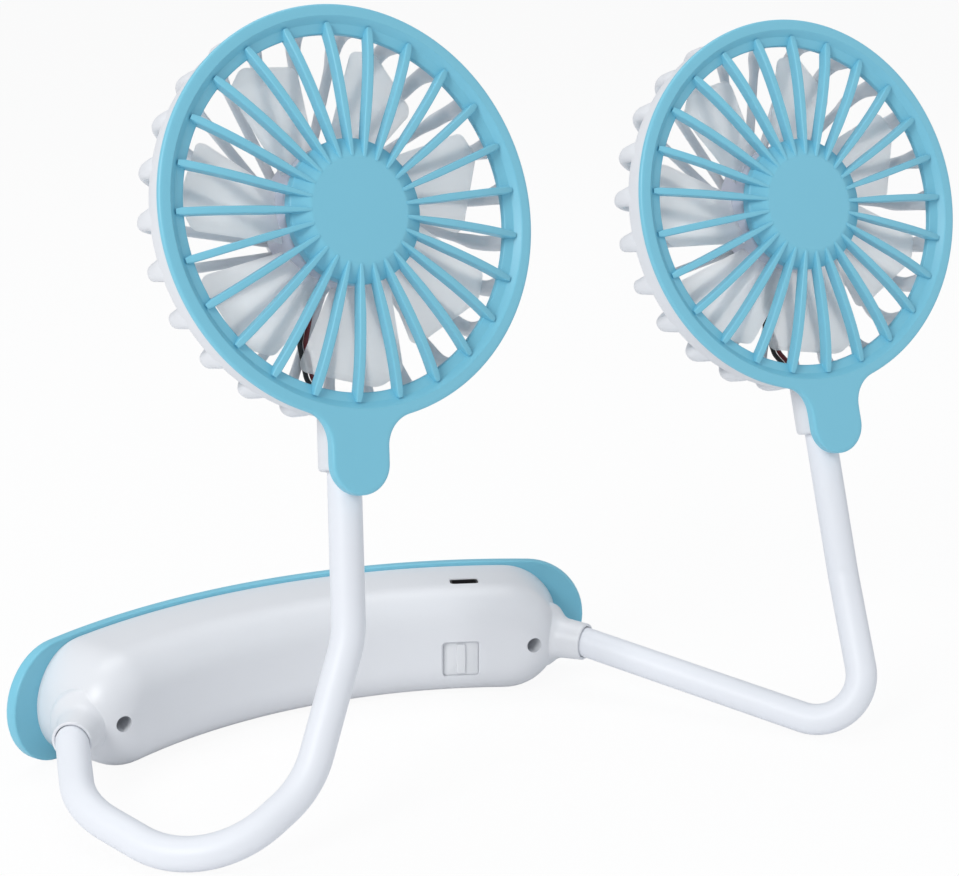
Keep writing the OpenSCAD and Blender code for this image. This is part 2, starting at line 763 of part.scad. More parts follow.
module motor_cap() {
    difference() {
        rotate_extrude() polygon([
            [0, -motor_back], [motor_r, -motor_back], [motor_r, -motor_split],
            [motor_r - can_wall, -motor_split], [motor_r - can_wall, cap_t - motor_back],
            [bush_r + can_wall, cap_t - motor_back],
            [bush_r + can_wall, -motor_split], [bush_r + press_gap, -motor_split],
            [bush_r + press_gap, can_wall - motor_back], [0, can_wall - motor_back]]);
        for (side = [-1, 1]) translate([side * motor_screw_reach, 0, -motor_back - over])
            cylinder(r = small_screw_r + seat_gap / 2, h = motor_screw_bite + seat_gap + over);
    }
}

module motor_rotor() {
    translate([0, 0, -motor_back + can_wall + seat_gap])
        cylinder(r = shaft_r, h = motor_back - can_wall - seat_gap - rotor_front - seat_gap);
    translate([0, 0, -motor_split + armature_gap])
        cylinder(r = armature_d / 2, h = motor_split - motor_front - can_wall - 2 * armature_gap);
}

module motor_bushes() {
    for (z = [-motor_front - can_wall - seat_gap, -motor_back + can_wall + seat_gap])
        translate([0, 0, z]) difference() {
            cylinder(r = bush_r, h = bush_l);
            translate([0, 0, -over]) cylinder(r = shaft_r + running_gap, h = bush_l + 2 * over);
        }
}

module motor_leads() {
    end_y = tip_depth - socket_reach;
    turn_y = -block_top + (end_y + block_top) * lead_bend_share;
    for (side = [-1, 1]) translate([side * lead_step / 2, 0, 0])
        wire([[0, -motor_r - press_gap, -lead_height], [0, turn_y, -lead_height], [0, turn_y, -neck_back],
            [0, end_y + seat_gap, -neck_back]], lead_r);
}

module motor_screws() {
    for (side = [-1, 1]) translate([side * motor_screw_reach, 0, -motor_back - seat_floor]) {
        translate([0, 0, -small_head_t]) cylinder(r = small_head_r, h = small_head_t);
        cylinder(r = small_screw_r, h = seat_floor + motor_screw_bite);
    }
}

// Pack pieces

// A D-shaped section from radius r0 to r1, with its two front corners rounded
module d_section(r0, r1, low, high, corner) {
    translate([r0 + corner, low]) square([r1 - r0 - corner, high - low]);
    translate([r0, low + corner]) square([r1 - r0, high - low - 2 * corner]);
    for (z = [low + corner, high - corner]) translate([r0 + corner, z]) circle(r = corner);
}

// The upper half of that section, turned for revolving about the radial line at its middle
module half_section(r0, r1, half, corner) {
    intersection() {
        rotate(90) mirror([0, 1]) d_section(r0, r1, -half, half, corner);
        translate([0, r0 - over]) square([half + over, r1 - r0 + 2 * over]);
    }
}

// Half of a pack piece, on the right: children are its section and the half section of its round end
module pack_half(half_angle, height) {
    translate([0, -bend_r, 0]) rotate([0, 0, 90 - half_angle]) {
        rotate_extrude(angle = half_angle + half_overlap) children(0);
        translate([0, 0, height / 2]) mirror([0, 1, 0]) rotate([0, 90, 0])
            rotate_extrude(angle = 180) children(1);
    }
}

module shell_form() {
    for (side = [0, 1]) mirror([side, 0, 0]) pack_half(shell_half_angle, shell_h) {
        d_section(shell_front_r, parting_r, 0, shell_h, edge_r);
        half_section(shell_front_r, parting_r, mid_h, edge_r);
    }
}

module shell_walls() {
    for (side = [0, 1]) mirror([side, 0, 0]) pack_half(shell_half_angle, shell_h) {
        difference() {
            d_section(shell_front_r, parting_r, 0, shell_h, edge_r);
            d_section(hollow_r, parting_r + over, shell_wall, shell_h - shell_wall, edge_r - shell_wall);
        }
        difference() {
            half_section(shell_front_r, parting_r, mid_h, edge_r);
            half_section(hollow_r, parting_r + over, mid_h - shell_wall, edge_r - shell_wall);
        }
    }
}

module collar(side) {
    d = collar_dir(side);
    stand(collar_tip(side) - d * collar_l, across(d), d)
        cylinder(r1 = collar_base_r, r2 = collar_tip_r, h = collar_l - cup_rim);
}

module collar_cuts(side) {
    d = collar_dir(side);
    translate(collar_tip(side)) sphere(r = cup_r);
    stand(collar_tip(side) - d * (core_root_l + over), across(d), d)
        cylinder(r = core_r + seat_gap, h = core_root_l);
}

module screw_tube(side) {
    intersection() {
        translate([side * screw_x, screw_split_y, mid_h]) rotate([90, 0, 0])
            cylinder(r = screw_tube_r, h = pack_t);
        shell_form();
    }
}

module screw_cuts(side) {
    translate([side * screw_x, screw_split_y + over, mid_h]) rotate([90, 0, 0])
        cylinder(r = screw_r + seat_gap, h = pack_t);
    translate([side * screw_x, screw_seat_y, mid_h]) rotate([90, 0, 0])
        cylinder(r = screw_head_r + seat_gap, h = pack_t);
}

module cell_cradles() {
    at_cell() for (x = [-cradle_x, cradle_x]) difference() {
        translate([x - cradle_t / 2, shell_front_r + shell_wall / 2 - cell_at_r, -cradle_h / 2])
            cube([cradle_t, cell_at_r - shell_front_r - shell_wall / 2, cradle_h]);
        translate([x - cradle_t, 0, 0]) rotate([0, 90, 0])
            cylinder(r = cell_r + seat_gap, h = 2 * cradle_t);
    }
}

module board_posts() {
    at_board() for (x = post_x) difference() {
        translate([x, board_r, post_high]) rotate([90, 0, 0])
            cylinder(r = post_r, h = board_r - shell_front_r - shell_wall / 2);
        translate([x, board_r + over, post_high]) rotate([90, 0, 0])
            cylinder(r = board_screw_r + seat_gap / 2, h = board_screw_tip + seat_gap + over);
    }
}

module front_shell() {
    color("whitesmoke") difference() {
        union() {
            shell_walls();
            for (side = [-1, 1]) {
                collar(side);
                screw_tube(side);
            }
            cell_cradles();
            board_posts();
        }
        for (side = [-1, 1]) {
            collar_cuts(side);
            screw_cuts(side);
        }
        at_board() {
            pocket_w = button_w + 2 * button_gap;
            translate([button_x - pocket_w / 2, shell_front_r - shell_wall, button_z - pocket_w / 2])
                cube([pocket_w, 3 * shell_wall, pocket_w]);
            slot_y = board_r + board_t + (usb_t - usb_slot_t) / 2;
            translate([-usb_slot_w / 2, slot_y, shell_h - shell_wall - over])
                cube([usb_slot_w, usb_slot_t, shell_wall + 2 * over]);
        }
    }
}

module cover_section(r0, r1, low, high) {
    translate([r0, low]) square([r1 - r0 - cover_edge_r, high - low]);
    translate([r0, low + cover_edge_r]) square([r1 - r0, high - low - 2 * cover_edge_r]);
    for (z = [low + cover_edge_r, high - cover_edge_r])
        translate([r1 - cover_edge_r, z]) circle(r = cover_edge_r);
}

module cover_half() {
    intersection() {
        rotate(90) mirror([0, 1]) cover_section(parting_r, cover_back_r, -cover_h / 2, cover_h / 2);
        translate([0, parting_r - over]) square([cover_h, cover_t + 2 * over]);
    }
}

module back_cover() {
    color("skyblue") difference() {
        union() {
            for (side = [0, 1]) mirror([side, 0, 0]) pack_half(cover_half_angle, cover_h) {
                cover_section(parting_r, cover_back_r, 0, cover_h);
                cover_half();
            }
            for (side = [-1, 1]) translate([side * screw_x, boss_root_y, mid_h]) rotate([90, 0, 0])
                cylinder(r = boss_r, h = boss_root_y - screw_split_y - seat_gap);
        }
        for (side = [-1, 1]) translate([side * screw_x, screw_tip_y + over, mid_h]) rotate([90, 0, 0])
            cylinder(r = screw_r + seat_gap / 2, h = pack_t);
    }
}

module power_button() {
    face_y = shell_front_r + button_recess;
    back_y = hollow_r + ear_gap;
    ear_h = button_w * ear_share;
    rib_h = button_w * button_rib_share;
    stem_y = board_r - switch_h - plunger_h - button_travel - seat_gap;
    color("gainsboro") at_board() translate([button_x, 0, button_z]) {
        translate([-button_w / 2, face_y, -button_w / 2]) cube([button_w, back_y - face_y, button_w]);
        translate([-button_rib_w / 2, face_y - button_rib_rise, -rib_h / 2])
            cube([button_rib_w, button_rib_rise, rib_h]);
        translate([-button_w / 2 - ear_w, back_y, -ear_h / 2]) cube([button_w + 2 * ear_w, ear_t, ear_h]);
        translate([0, stem_y, 0]) rotate([90, 0, 0]) cylinder(r = stem_r, h = stem_y - back_y);
    }
}

module battery_cell() {
    color("limegreen") at_cell() translate([-cell_l / 2, 0, 0]) rotate([0, 90, 0])
        cylinder(r = cell_r, h = cell_l);
}

module circuit_board() {
    color("darkgreen") at_board() difference() {
        translate([board_shift - board_w / 2, board_r, board_low]) cube([board_w, board_t, board_h]);
        for (x = post_x) translate([x, board_r + board_t + over, post_high]) rotate([90, 0, 0])
            cylinder(r = board_screw_r + seat_gap, h = board_t + 2 * over);
    }
}

module charge_socket() {
    top = shell_h - usb_recess;
    color("silver") at_board() translate([0, board_r + board_t, top - usb_h]) {
        difference() {
            translate([-usb_w / 2, 0, 0]) cube([usb_w, usb_t, usb_h]);
            translate([usb_sheet - usb_w / 2, usb_sheet, 2 * usb_sheet])
                cube([usb_w - 2 * usb_sheet, usb_t - 2 * usb_sheet, usb_h]);
        }
        translate([-usb_w * tongue_w_share / 2, usb_t / 2 - usb_sheet, usb_sheet])
            cube([usb_w * tongue_w_share, 2 * usb_sheet, usb_h * tongue_h_share]);
    }
}

module tact_switch() {
    color("dimgray") at_board() translate([button_x, board_r - switch_h, button_z]) {
        translate([-switch_w / 2, 0, -switch_w / 2]) cube([switch_w, switch_h, switch_w]);
        rotate([90, 0, 0]) cylinder(r = plunger_r, h = plunger_h);
    }
}

module board_screws() {
    color("silver") at_board() for (x = post_x) translate([x, board_r + board_t, post_high]) {
        translate([0, board_head_t, 0]) rotate([90, 0, 0]) cylinder(r = board_head_r, h = board_head_t);
        rotate([90, 0, 0]) cylinder(r = board_screw_r, h = board_t + board_screw_tip);
    }
}

module cover_screws() {
    color("silver") for (side = [-1, 1]) translate([side * screw_x, screw_seat_y, mid_h]) {
        rotate([90, 0, 0]) cylinder(r = screw_head_r, h = screw_head_t);
        rotate([-90, 0, 0]) cylinder(r = screw_r, h = screw_tip_y - screw_seat_y);
    }
}

module arm_ferrules() {
    color("silver") for (side = [-1, 1]) {
        d = collar_dir(side);
        stand(collar_tip(side) - d * ferrule_from, across(d), d) difference() {
            cylinder(r = ferrule_r, h = ferrule_l);
            translate([0, 0, -over]) cylinder(r = core_r + press_gap, h = ferrule_l + 2 * over);
        }
    }
}

module core_root(side) {
    d = collar_dir(side);
    stand(collar_tip(side) - d * core_root_l, across(d), d) difference() {
        cylinder(r = core_r, h = core_root_l - core_short);
        translate([0, 0, -over]) cylinder(r = core_bore_r, h = core_root_l);
    }
}

// Route of one arm's cable from its collar, round the screw tube, to the board
function pack_route(side) =
    let (d = collar_dir(side), tip = collar_tip(side), end_x = board_shift + side * board_w * wire_end_share,
        turn = pack_point(bend_r + cable_turn_out, side * cable_turn_angle, floor_z),
        crossing = side < 0 ? [for (a = cable_cross_angles) pack_point(bend_r, a, floor_z)] : [],
        end_z = board_low + board_h * cable_end_share)
    concat([tip - d * core_short, tip - d * (core_root_l + cable_drop), turn], crossing,
        [board_point([end_x, cable_back, floor_z]), board_point([end_x, cable_back, end_z])]);

module pack_cables() {
    color("black") for (side = [-1, 1]) wire(pack_route(side), cable_r);
}

module cell_leads() {
    board_back = board_r + board_t + lead_r * corner_swell + seat_gap;
    lead_at_r = cell_at_r + lead_out;
    end_angle = asin((cell_l / 2 + lead_r + 2 * seat_gap) / lead_at_r);
    plus_angle = cell_angle + end_angle;
    minus_angle = cell_angle - end_angle;
    plus_x = board_shift - board_w * lead_end_shares[0];
    minus_x = board_shift - board_w * lead_end_shares[1];
    plus_z = roof_z - lead_step;
    color("red") wire([pack_point(lead_at_r, plus_angle, mid_h), pack_point(lead_at_r, plus_angle, plus_z),
        board_point([plus_x, board_back, plus_z]), board_point([plus_x, board_back, mid_h])], lead_r);
    color("red") wire([pack_point(lead_at_r, minus_angle, mid_h), pack_point(lead_at_r, minus_angle, roof_z),
        pack_point(lead_at_r, cell_angle, roof_z), board_point([minus_x, board_back, roof_z]),
        board_point([minus_x, board_back, mid_h])], lead_r);
}

module left_core_root() color("slategray") core_root(-1);
module right_core_root() color("slategray") core_root(1);

// Arm pieces

module left_sleeve_lower() color("white") sleeve(left_lower, left_bend_r, true);
module left_sleeve_upper() color("white") sleeve(left_upper, left_bend_r, true);
module left_sleeve_neck() color("white") sleeve(left_neck, left_bend_r, true);
module left_sleeve_tip() color("white") sleeve(left_tip, left_bend_r, false);
module left_core_lower() color("slategray") core(left_lower, left_bend_r, true);
module left_core_upper() color("slategray") core(left_upper, left_bend_r, true);
module left_core_neck() color("slategray") core(left_neck, left_bend_r, true);
module left_core_tip() color("slategray") core(left_tip, left_bend_r, false);
module left_cable_lower() color("black") cable(left_lower, left_bend_r, true);
module left_cable_upper() color("black") cable(left_upper, left_bend_r, true);
module left_cable_neck() color("black") cable(left_neck, left_bend_r, true);
module left_cable_tip() color("black") cable(left_tip, left_bend_r, false);
module right_sleeve_lower() color("white") sleeve(right_lower, right_bend_r, true);
module right_sleeve_upper() color("white") sleeve(right_upper, right_bend_r, true);
module right_sleeve_neck() color("white") sleeve(right_neck, right_bend_r, true);
module right_sleeve_tip() color("white") sleeve(right_tip, right_bend_r, false);
module right_core_lower() color("slategray") core(right_lower, right_bend_r, true);
module right_core_upper() color("slategray") core(right_upper, right_bend_r, true);
module right_core_neck() color("slategray") core(right_neck, right_bend_r, true);
module right_core_tip() color("slategray") core(right_tip, right_bend_r, false);
// The tight bend's cable is laid in short chords
module right_cable_lower() color("black")
    wire(bent(trimmed(right_lower, -core_in_ball, core_short), right_bend_r), cable_r, chord_swell);
module right_cable_upper() color("black") cable(right_upper, right_bend_r, true);
module right_cable_neck() color("black") cable(right_neck, right_bend_r, true);
module right_cable_tip() color("black") cable(right_tip, right_bend_r, false);

// Fan heads

module left_front_grille() color("skyblue") at_head(left_head) front_grille();
module left_rear_cage() color("whitesmoke") at_head(left_head) rear_cage();
module left_impeller() color("lightgray") at_head(left_head) impeller();
module left_motor_can() color("slategray") at_head(left_head) motor_can();
module left_motor_cap() color("dimgray") at_head(left_head) motor_cap();
module left_motor_rotor() color("darkorange") at_head(left_head) motor_rotor();
module left_motor_bushes() color("gold") at_head(left_head) motor_bushes();
module left_motor_leads() color("red") at_head(left_head) motor_leads();
module left_motor_screws() color("silver") at_head(left_head) motor_screws();
module right_front_grille() color("skyblue") at_head(right_head) front_grille();
module right_rear_cage() color("whitesmoke") at_head(right_head) rear_cage();
module right_impeller() color("lightgray") at_head(right_head) impeller();
module right_motor_can() color("slategray") at_head(right_head) motor_can();
module right_motor_cap() color("dimgray") at_head(right_head) motor_cap();
module right_motor_rotor() color("darkorange") at_head(right_head) motor_rotor();
module right_motor_bushes() color("gold") at_head(right_head) motor_bushes();
module right_motor_leads() color("red") at_head(right_head) motor_leads();
module right_motor_screws() color("silver") at_head(right_head) motor_screws();

front_shell();
back_cover();
power_button();
battery_cell();
circuit_board();
charge_socket();
tact_switch();
board_screws();
cover_screws();
arm_ferrules();
pack_cables();
cell_leads();
left_core_root();
right_core_root();
left_sleeve_lower();
left_sleeve_upper();
left_sleeve_neck();
left_sleeve_tip();
left_core_lower();
left_core_upper();
left_core_neck();
left_core_tip();
left_cable_lower();
left_cable_upper();
left_cable_neck();
left_cable_tip();
right_sleeve_lower();
right_sleeve_upper();
right_sleeve_neck();
right_sleeve_tip();
right_core_lower();
right_core_upper();
right_core_neck();
right_core_tip();
right_cable_lower();
right_cable_upper();
right_cable_neck();
right_cable_tip();
left_front_grille();
left_rear_cage();
left_impeller();
left_motor_can();
left_motor_cap();
left_motor_rotor();
left_motor_bushes();
left_motor_leads();
left_motor_screws();
right_front_grille();
right_rear_cage();
right_impeller();
right_motor_can();
right_motor_cap();
right_motor_rotor();
right_motor_bushes();
right_motor_leads();
right_motor_screws();
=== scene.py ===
"""Looks of the neck fan: a curved battery pack, two bendable arms and two fan heads.

Lengths are in millimetres, and become metres where a mesh is made.
"""
import json
import math

import bmesh
import bpy
from mathutils import Matrix, Vector

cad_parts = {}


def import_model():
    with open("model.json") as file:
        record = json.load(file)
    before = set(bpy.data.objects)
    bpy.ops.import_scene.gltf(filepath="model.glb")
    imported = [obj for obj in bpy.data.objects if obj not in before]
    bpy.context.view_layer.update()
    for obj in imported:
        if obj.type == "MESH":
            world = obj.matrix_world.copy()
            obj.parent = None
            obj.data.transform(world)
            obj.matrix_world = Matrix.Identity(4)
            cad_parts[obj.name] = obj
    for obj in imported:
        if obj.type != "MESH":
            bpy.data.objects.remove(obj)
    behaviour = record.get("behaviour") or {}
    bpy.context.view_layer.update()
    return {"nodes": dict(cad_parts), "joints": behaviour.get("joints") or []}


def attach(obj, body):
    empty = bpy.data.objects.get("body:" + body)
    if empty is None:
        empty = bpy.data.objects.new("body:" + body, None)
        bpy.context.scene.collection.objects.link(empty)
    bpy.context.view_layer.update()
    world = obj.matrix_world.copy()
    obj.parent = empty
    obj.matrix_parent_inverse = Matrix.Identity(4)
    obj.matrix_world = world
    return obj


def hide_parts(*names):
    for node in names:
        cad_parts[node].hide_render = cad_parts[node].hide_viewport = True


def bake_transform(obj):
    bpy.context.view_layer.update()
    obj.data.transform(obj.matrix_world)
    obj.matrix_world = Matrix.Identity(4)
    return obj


MM = 0.001
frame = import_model()
joints = {j["name"]: j for j in frame["joints"]}
SIDES = ("left", "right")

# Fan head, in its own frame: x right, y up, z out of the front, the rim at z = 0
RING_R = 48.0
RIM_R = 45.3
WALL_R = 43.7
OPENING_R = 41.4
LEDGE_Z = -1.5
OPENING_Z = -1.9
FLANGE_T = 1.5
RING_BACK = -4.0
RING_EDGE = 0.8
RING_BACK_EDGE = 0.3
BAND_PLAY = 0.15
OUTLINE_STEPS = 320
TAB_HALF = 7.35
TAB_REACH = 65.0
TAB_FILLET = 8.0
TAB_T = 2.8
SPOKES = 25
SPOKE_W = 1.75
SPOKE_DEPTH = 3.4
SPOKE_END_R = 43.3
SPOKE_END_Z = -0.6
SPOKE_RISE = 0.08
SPOKE_TIP_SHARE = 0.48
DOME_POWER = 3.4
DISC_R = 12.5
DISC_Z = 2.6
SKIRT_R = 16.9
SKIRT_T = 1.2
SHOULDER_Z = 0.5
SKIRT_BACK = -2.2
BAND_R = 47.2
BAND_INNER = 45.8
BAND_BACK = -8.2
CAGE_BACK = -18.6
RIB_W = 2.4
RIB_T = 2.1
RIB_OFFSET = 6.0
# A rib's lobe starts at the band, is full further back, and grows outwards over LOBE_RUN from LOBE_X
LOBE_START = -2.5
LOBE_FULL = -10.0
LOBE_X = 36.0
LOBE_RUN = 6.0
SEAT_R = 12.3
SEAT_WALL = 2.2
SEAT_FLOOR = 1.8
SEAT_BACK = -21.2
SHAFT_HOLE_R = 2.5
SOCKET_R = 6.0
SOCKET_BORE_R = 4.12
SOCKET_DEPTH = 5.0
SOCKET_END = 59.0
NECK_Z = -9.0
TUBE_R = 4.0
BLADES = 7
BLADE_PITCH = 21.0
BLADE_PHASE = 21.0
BLADE_Z = -8.6
BLADE_HALF_T = 0.55
BLADE_DISH = 0.9
BLADE_MIDDLE = (29.0, -0.5)
BLADE_RINGS = 12
ROTOR_R = 41.0
HUB_R = 16.7
HUB_FRONT = -3.2
HUB_BACK = -14.6
HUB_WALL = 1.8
SHAFT_R = 1.1
WIRE_R = 0.6
WIRE_BEND = 4.0
WIRE_ROUTE = [(-0.9, -12.4, -15.5), (-4.6, -20.0, -15.6), (-6.6, -29.0, -15.6), (-5.0, -37.0, -15.6),
              (-1.2, -42.5, -15.0), (0.0, -46.0, -11.5), (0.0, -48.0, -9.6)]

# Pack
BEND_R = 126.0
FRONT_R = 112.0
BACK_R = 140.0
PARTING_R = 136.5
SHELL_H = 30.0
COVER_H = 31.0
SHELL_ANGLE = 26.5
COVER_ANGLE = 29.5
COLLAR_ANGLE = 33.0
BOARD_ANGLE = 21.5
SCREW_X = 57.5
SCREW_Z = 15.0
SCREW_HOLE_R = 2.05
PORT_RADIUS = 123.6
PORT_W = 7.6
PORT_T = 4.2
PORT_WALL = 0.5
BUTTON_X = -2.0
BUTTON_Z = 11.5
POCKET_W = 9.6
POCKET_DEPTH = 5.0
BUTTON_W = 9.5
RIDGE_W = 2.6
RIDGE_H = 8.4

# Arms: corners between the collar and the neck, and one more at NECK_CORNER below the head's middle
CORNERS = {"left": [(-77.6, -55.7, 8.7), (-59.8, -88.8, 0.9), (-33.3, -85.4, 16.3)],
           "right": [(118.1, -98.4, 1.25)]}
CORNER_R = {"left": 24.0, "right": 11.5}
NECK_CORNER = 97.0
PATH_STEP = 1.2
TUBE_STEP = 1.5
# Sleeve lengths end this far before the elbow, tilt and nod; the blend lengths in BLENDS are not used
CUTS_BEFORE = (9.5, 6.4, 6.4)
BLENDS = ((-0.5, 11.0), (9.0, 9.0), (6.2, 6.2), (6.2, 6.2))
HINGES = ("base_sweep", "elbow_fold", "neck_tilt", "head_nod")

# Floor, in metres, and camera
FLOOR_HALF = 6.0
FLOOR_GAP = 0.0002
FLOOR_GLOW = 0.93
SENSOR = 36.0
PICTURE_PIXELS = 959
LENS_PIXELS = 2050


# Plain geometry: outlines are lists of points, geometries are (points, faces)

def smoothstep(value):
    """From 0 to 1 with a soft start and end."""
    t = min(1.0, max(0.0, value))
    return t * t * (3 - 2 * t)


def rounded(points, radii, steps):
    """A 2D outline whose corners are rounded by the radius given for each."""
    out = []
    count = len(points)
    for i, (p, r) in enumerate(zip(points, radii)):
        p = Vector(p)
        if not r:
            out.append(tuple(p))
            continue
        a = (Vector(points[i - 1]) - p).normalized()
        b = (Vector(points[(i + 1) % count]) - p).normalized()
        half = math.acos(max(-1, min(1, a.dot(b)))) / 2
        centre = p + (a + b).normalized() * (r / math.sin(half))
        start = p + a * (r / math.tan(half)) - centre
        end = p + b * (r / math.tan(half)) - centre
        turn = start.angle_signed(end) * -1
        for k in range(steps + 1):
            t = turn * k / steps
            out.append((centre.x + start.x * math.cos(t) - start.y * math.sin(t),
                        centre.y + start.x * math.sin(t) + start.y * math.cos(t)))
    return out


def grid(rows, closed_rows=True, closed_columns=True):
    """Faces between rows of points."""
    points = [p for row in rows for p in row]
    n = len(rows[0])
    faces = []
    for i in range(len(rows) if closed_rows else len(rows) - 1):
        j = (i + 1) % len(rows)
        for k in range(n if closed_columns else n - 1):
            m = (k + 1) % n
            faces.append((i * n + k, i * n + m, j * n + m, j * n + k))
    return points, faces


def at_height(section, z):
    """The points of a flat section at a height."""
    return [(x, y, z) for x, y in section]


def capped(rows):
    """Faces between rows of points, with both ends closed."""
    points, faces = grid(rows, False, True)
    n = len(rows[0])
    faces.append(tuple(range(n)))
    faces.append(tuple(range(len(points) - n, len(points))))
    return points, faces


def lathe(profile, steps, closed=True):
    """A profile of (radius, z) turned round the z axis."""
    rows = []
    for i in range(steps):
        a = 2 * math.pi * i / steps
        rows.append([(r * math.cos(a), r * math.sin(a), z) for r, z in profile])
    return grid(rows, True, closed)


def moved(geometry, matrix):
    """The same faces with their points carried by a matrix."""
    points, faces = geometry
    return [tuple(matrix @ Vector(p)) for p in points], faces


def joined(*geometries):
    """Several geometries in one."""
    points, faces = [], []
    for p, f in geometries:
        faces += [tuple(i + len(points) for i in face) for face in f]
        points += p
    return points, faces


def swept(path, section, across, scales):
    """A section carried along a path, scaled at each point. Its first axis is along across."""
    rows = []
    last = len(path) - 1
    for i, p in enumerate(path):
        way = (Vector(path[min(i + 1, last)]) - Vector(path[max(i - 1, 0)])).normalized()
        side = Vector(across).normalized()
        up = side.cross(way).normalized()
        s, t = scales[i]
        rows.append([tuple(Vector(p) + side * (x * s) + up * (y * t)) for x, y in section])
    return capped(rows)


def bar_section(width, depth, radius):
    """A rectangle with round corners."""
    w, d = width / 2, depth / 2
    return rounded([(w, -d), (w, d), (-w, d), (-w, -d)], [radius] * 4, 4)


# Meshes and objects

def to_mesh(name, geometry):
    mesh = bpy.data.meshes.new(name)
    bm = bmesh.new()
    points = [bm.verts.new(Vector(p) * MM) for p in geometry[0]]
    for face in geometry[1]:
        bm.faces.new([points[i] for i in face])
    bmesh.ops.remove_doubles(bm, verts=bm.verts, dist=1e-7)
    bmesh.ops.dissolve_degenerate(bm, edges=bm.edges, dist=1e-8)
    bmesh.ops.recalc_face_normals(bm, faces=bm.faces)
    bm.to_mesh(mesh)
    bm.free()
    return mesh


def smooth(mesh, angle):
    """Smooth shading, but for edges that bend by more than the angle."""
    mesh.polygons.foreach_set("use_smooth", [True] * len(mesh.polygons))
    mesh.set_sharp_from_angle(angle=math.radians(angle))
    return mesh


def put(name, mesh, paint=None, matrix=None):
    """A new object at the origin; with a matrix, its mesh is a copy in that place."""
    if matrix is not None:
        mesh = mesh.copy()
        mesh.transform(matrix)
    obj = bpy.data.objects.new(name, mesh)
    bpy.context.scene.collection.objects.link(obj)
    if paint and not mesh.materials:
        mesh.materials.append(paint)
    return obj


def evaluated(obj):
    """The mesh that an object's modifiers make; the object goes away."""
    graph = bpy.context.evaluated_depsgraph_get()
    mesh = bpy.data.meshes.new_from_object(obj.evaluated_get(graph))
    name = obj.name
    bpy.data.objects.remove(obj)
    mesh.name = name
    return mesh


def merged(name, *meshes):
    """Several meshes in one, their faces in the same order."""
    bm = bmesh.new()
    for mesh in meshes:
        bm.from_mesh(mesh)
    out = bpy.data.meshes.new(name)
    bm.to_mesh(out)
    bm.free()
    return out


# Geometry node groups

def node_inputs(group, sockets):
    for name, kind, value in sockets:
        socket = group.interface.new_socket(name=name, in_out="INPUT", socket_type=kind)
        if value is not None:
            socket.default_value = value
    group.interface.new_socket(name="Geometry", in_out="OUTPUT", socket_type="NodeSocketGeometry")


def radial_group():
    group = bpy.data.node_groups.new("Radial repeat", "GeometryNodeTree")
    node_inputs(group, [("Geometry", "NodeSocketGeometry", None), ("Count", "NodeSocketInt", 12),
                        ("Phase", "NodeSocketFloat", 0.0), ("Material", "NodeSocketMaterial", None)])
    new, link = group.nodes.new, group.links.new
    inputs, output = new("NodeGroupInput"), new("NodeGroupOutput")
    points = new("GeometryNodePoints")
    index = new("GeometryNodeInputIndex")
    step = new("ShaderNodeMath")
    step.operation = "DIVIDE"
    step.inputs[0].default_value = 2 * math.pi
    turn = new("ShaderNodeMath")
    turn.operation = "MULTIPLY_ADD"
    angles = new("ShaderNodeCombineXYZ")
    rotation = new("FunctionNodeEulerToRotation")
    copies = new("GeometryNodeInstanceOnPoints")
    real = new("GeometryNodeRealizeInstances")
    paint = new("GeometryNodeSetMaterial")
    link(inputs.outputs["Count"], points.inputs["Count"])
    link(inputs.outputs["Count"], step.inputs[1])
    link(index.outputs[0], turn.inputs[0])
    link(step.outputs[0], turn.inputs[1])
    link(inputs.outputs["Phase"], turn.inputs[2])
    link(turn.outputs[0], angles.inputs["Z"])
    link(angles.outputs[0], rotation.inputs[0])
    link(points.outputs[0], copies.inputs["Points"])
    link(inputs.outputs["Geometry"], copies.inputs["Instance"])
    link(rotation.outputs[0], copies.inputs["Rotation"])
    link(copies.outputs[0], real.inputs[0])
    link(real.outputs[0], paint.inputs["Geometry"])
    link(inputs.outputs["Material"], paint.inputs["Material"])
    link(paint.outputs[0], output.inputs[0])
    return group


def tube_group():
    group = bpy.data.node_groups.new("Tube along path", "GeometryNodeTree")
    node_inputs(group, [("Geometry", "NodeSocketGeometry", None), ("Radius", "NodeSocketFloat", 0.004),
                        ("Sides", "NodeSocketInt", 48), ("Closed ends", "NodeSocketBool", False),
                        ("Material", "NodeSocketMaterial", None)])
    new, link = group.nodes.new, group.links.new
    inputs, output = new("NodeGroupInput"), new("NodeGroupOutput")
    curve = new("GeometryNodeMeshToCurve")
    circle = new("GeometryNodeCurvePrimitiveCircle")
    tube = new("GeometryNodeCurveToMesh")
    shade = new("GeometryNodeSetShadeSmooth")
    paint = new("GeometryNodeSetMaterial")
    link(inputs.outputs["Geometry"], curve.inputs["Mesh"])
    link(inputs.outputs["Sides"], circle.inputs["Resolution"])
    link(inputs.outputs["Radius"], circle.inputs["Radius"])
    link(curve.outputs[0], tube.inputs["Curve"])
    link(circle.outputs[0], tube.inputs["Profile Curve"])
    link(inputs.outputs["Closed ends"], tube.inputs["Fill Caps"])
    link(tube.outputs[0], shade.inputs["Geometry"])
    link(shade.outputs[0], paint.inputs["Geometry"])
    link(inputs.outputs["Material"], paint.inputs["Material"])
    link(paint.outputs[0], output.inputs[0])
    return group


def through(group, name, mesh, **values):
    """The plain mesh that a geometry node group makes of a mesh, with its named inputs set."""
    obj = put(name, mesh)
    modifier = obj.modifiers.new(group.name, "NODES")
    modifier.node_group = group
    for item in group.interface.items_tree:
        key = item.name.replace(" ", "_").lower()
        if item.in_out == "INPUT" and key in values:
            modifier[item.identifier] = values[key]
    return evaluated(obj)


# Materials

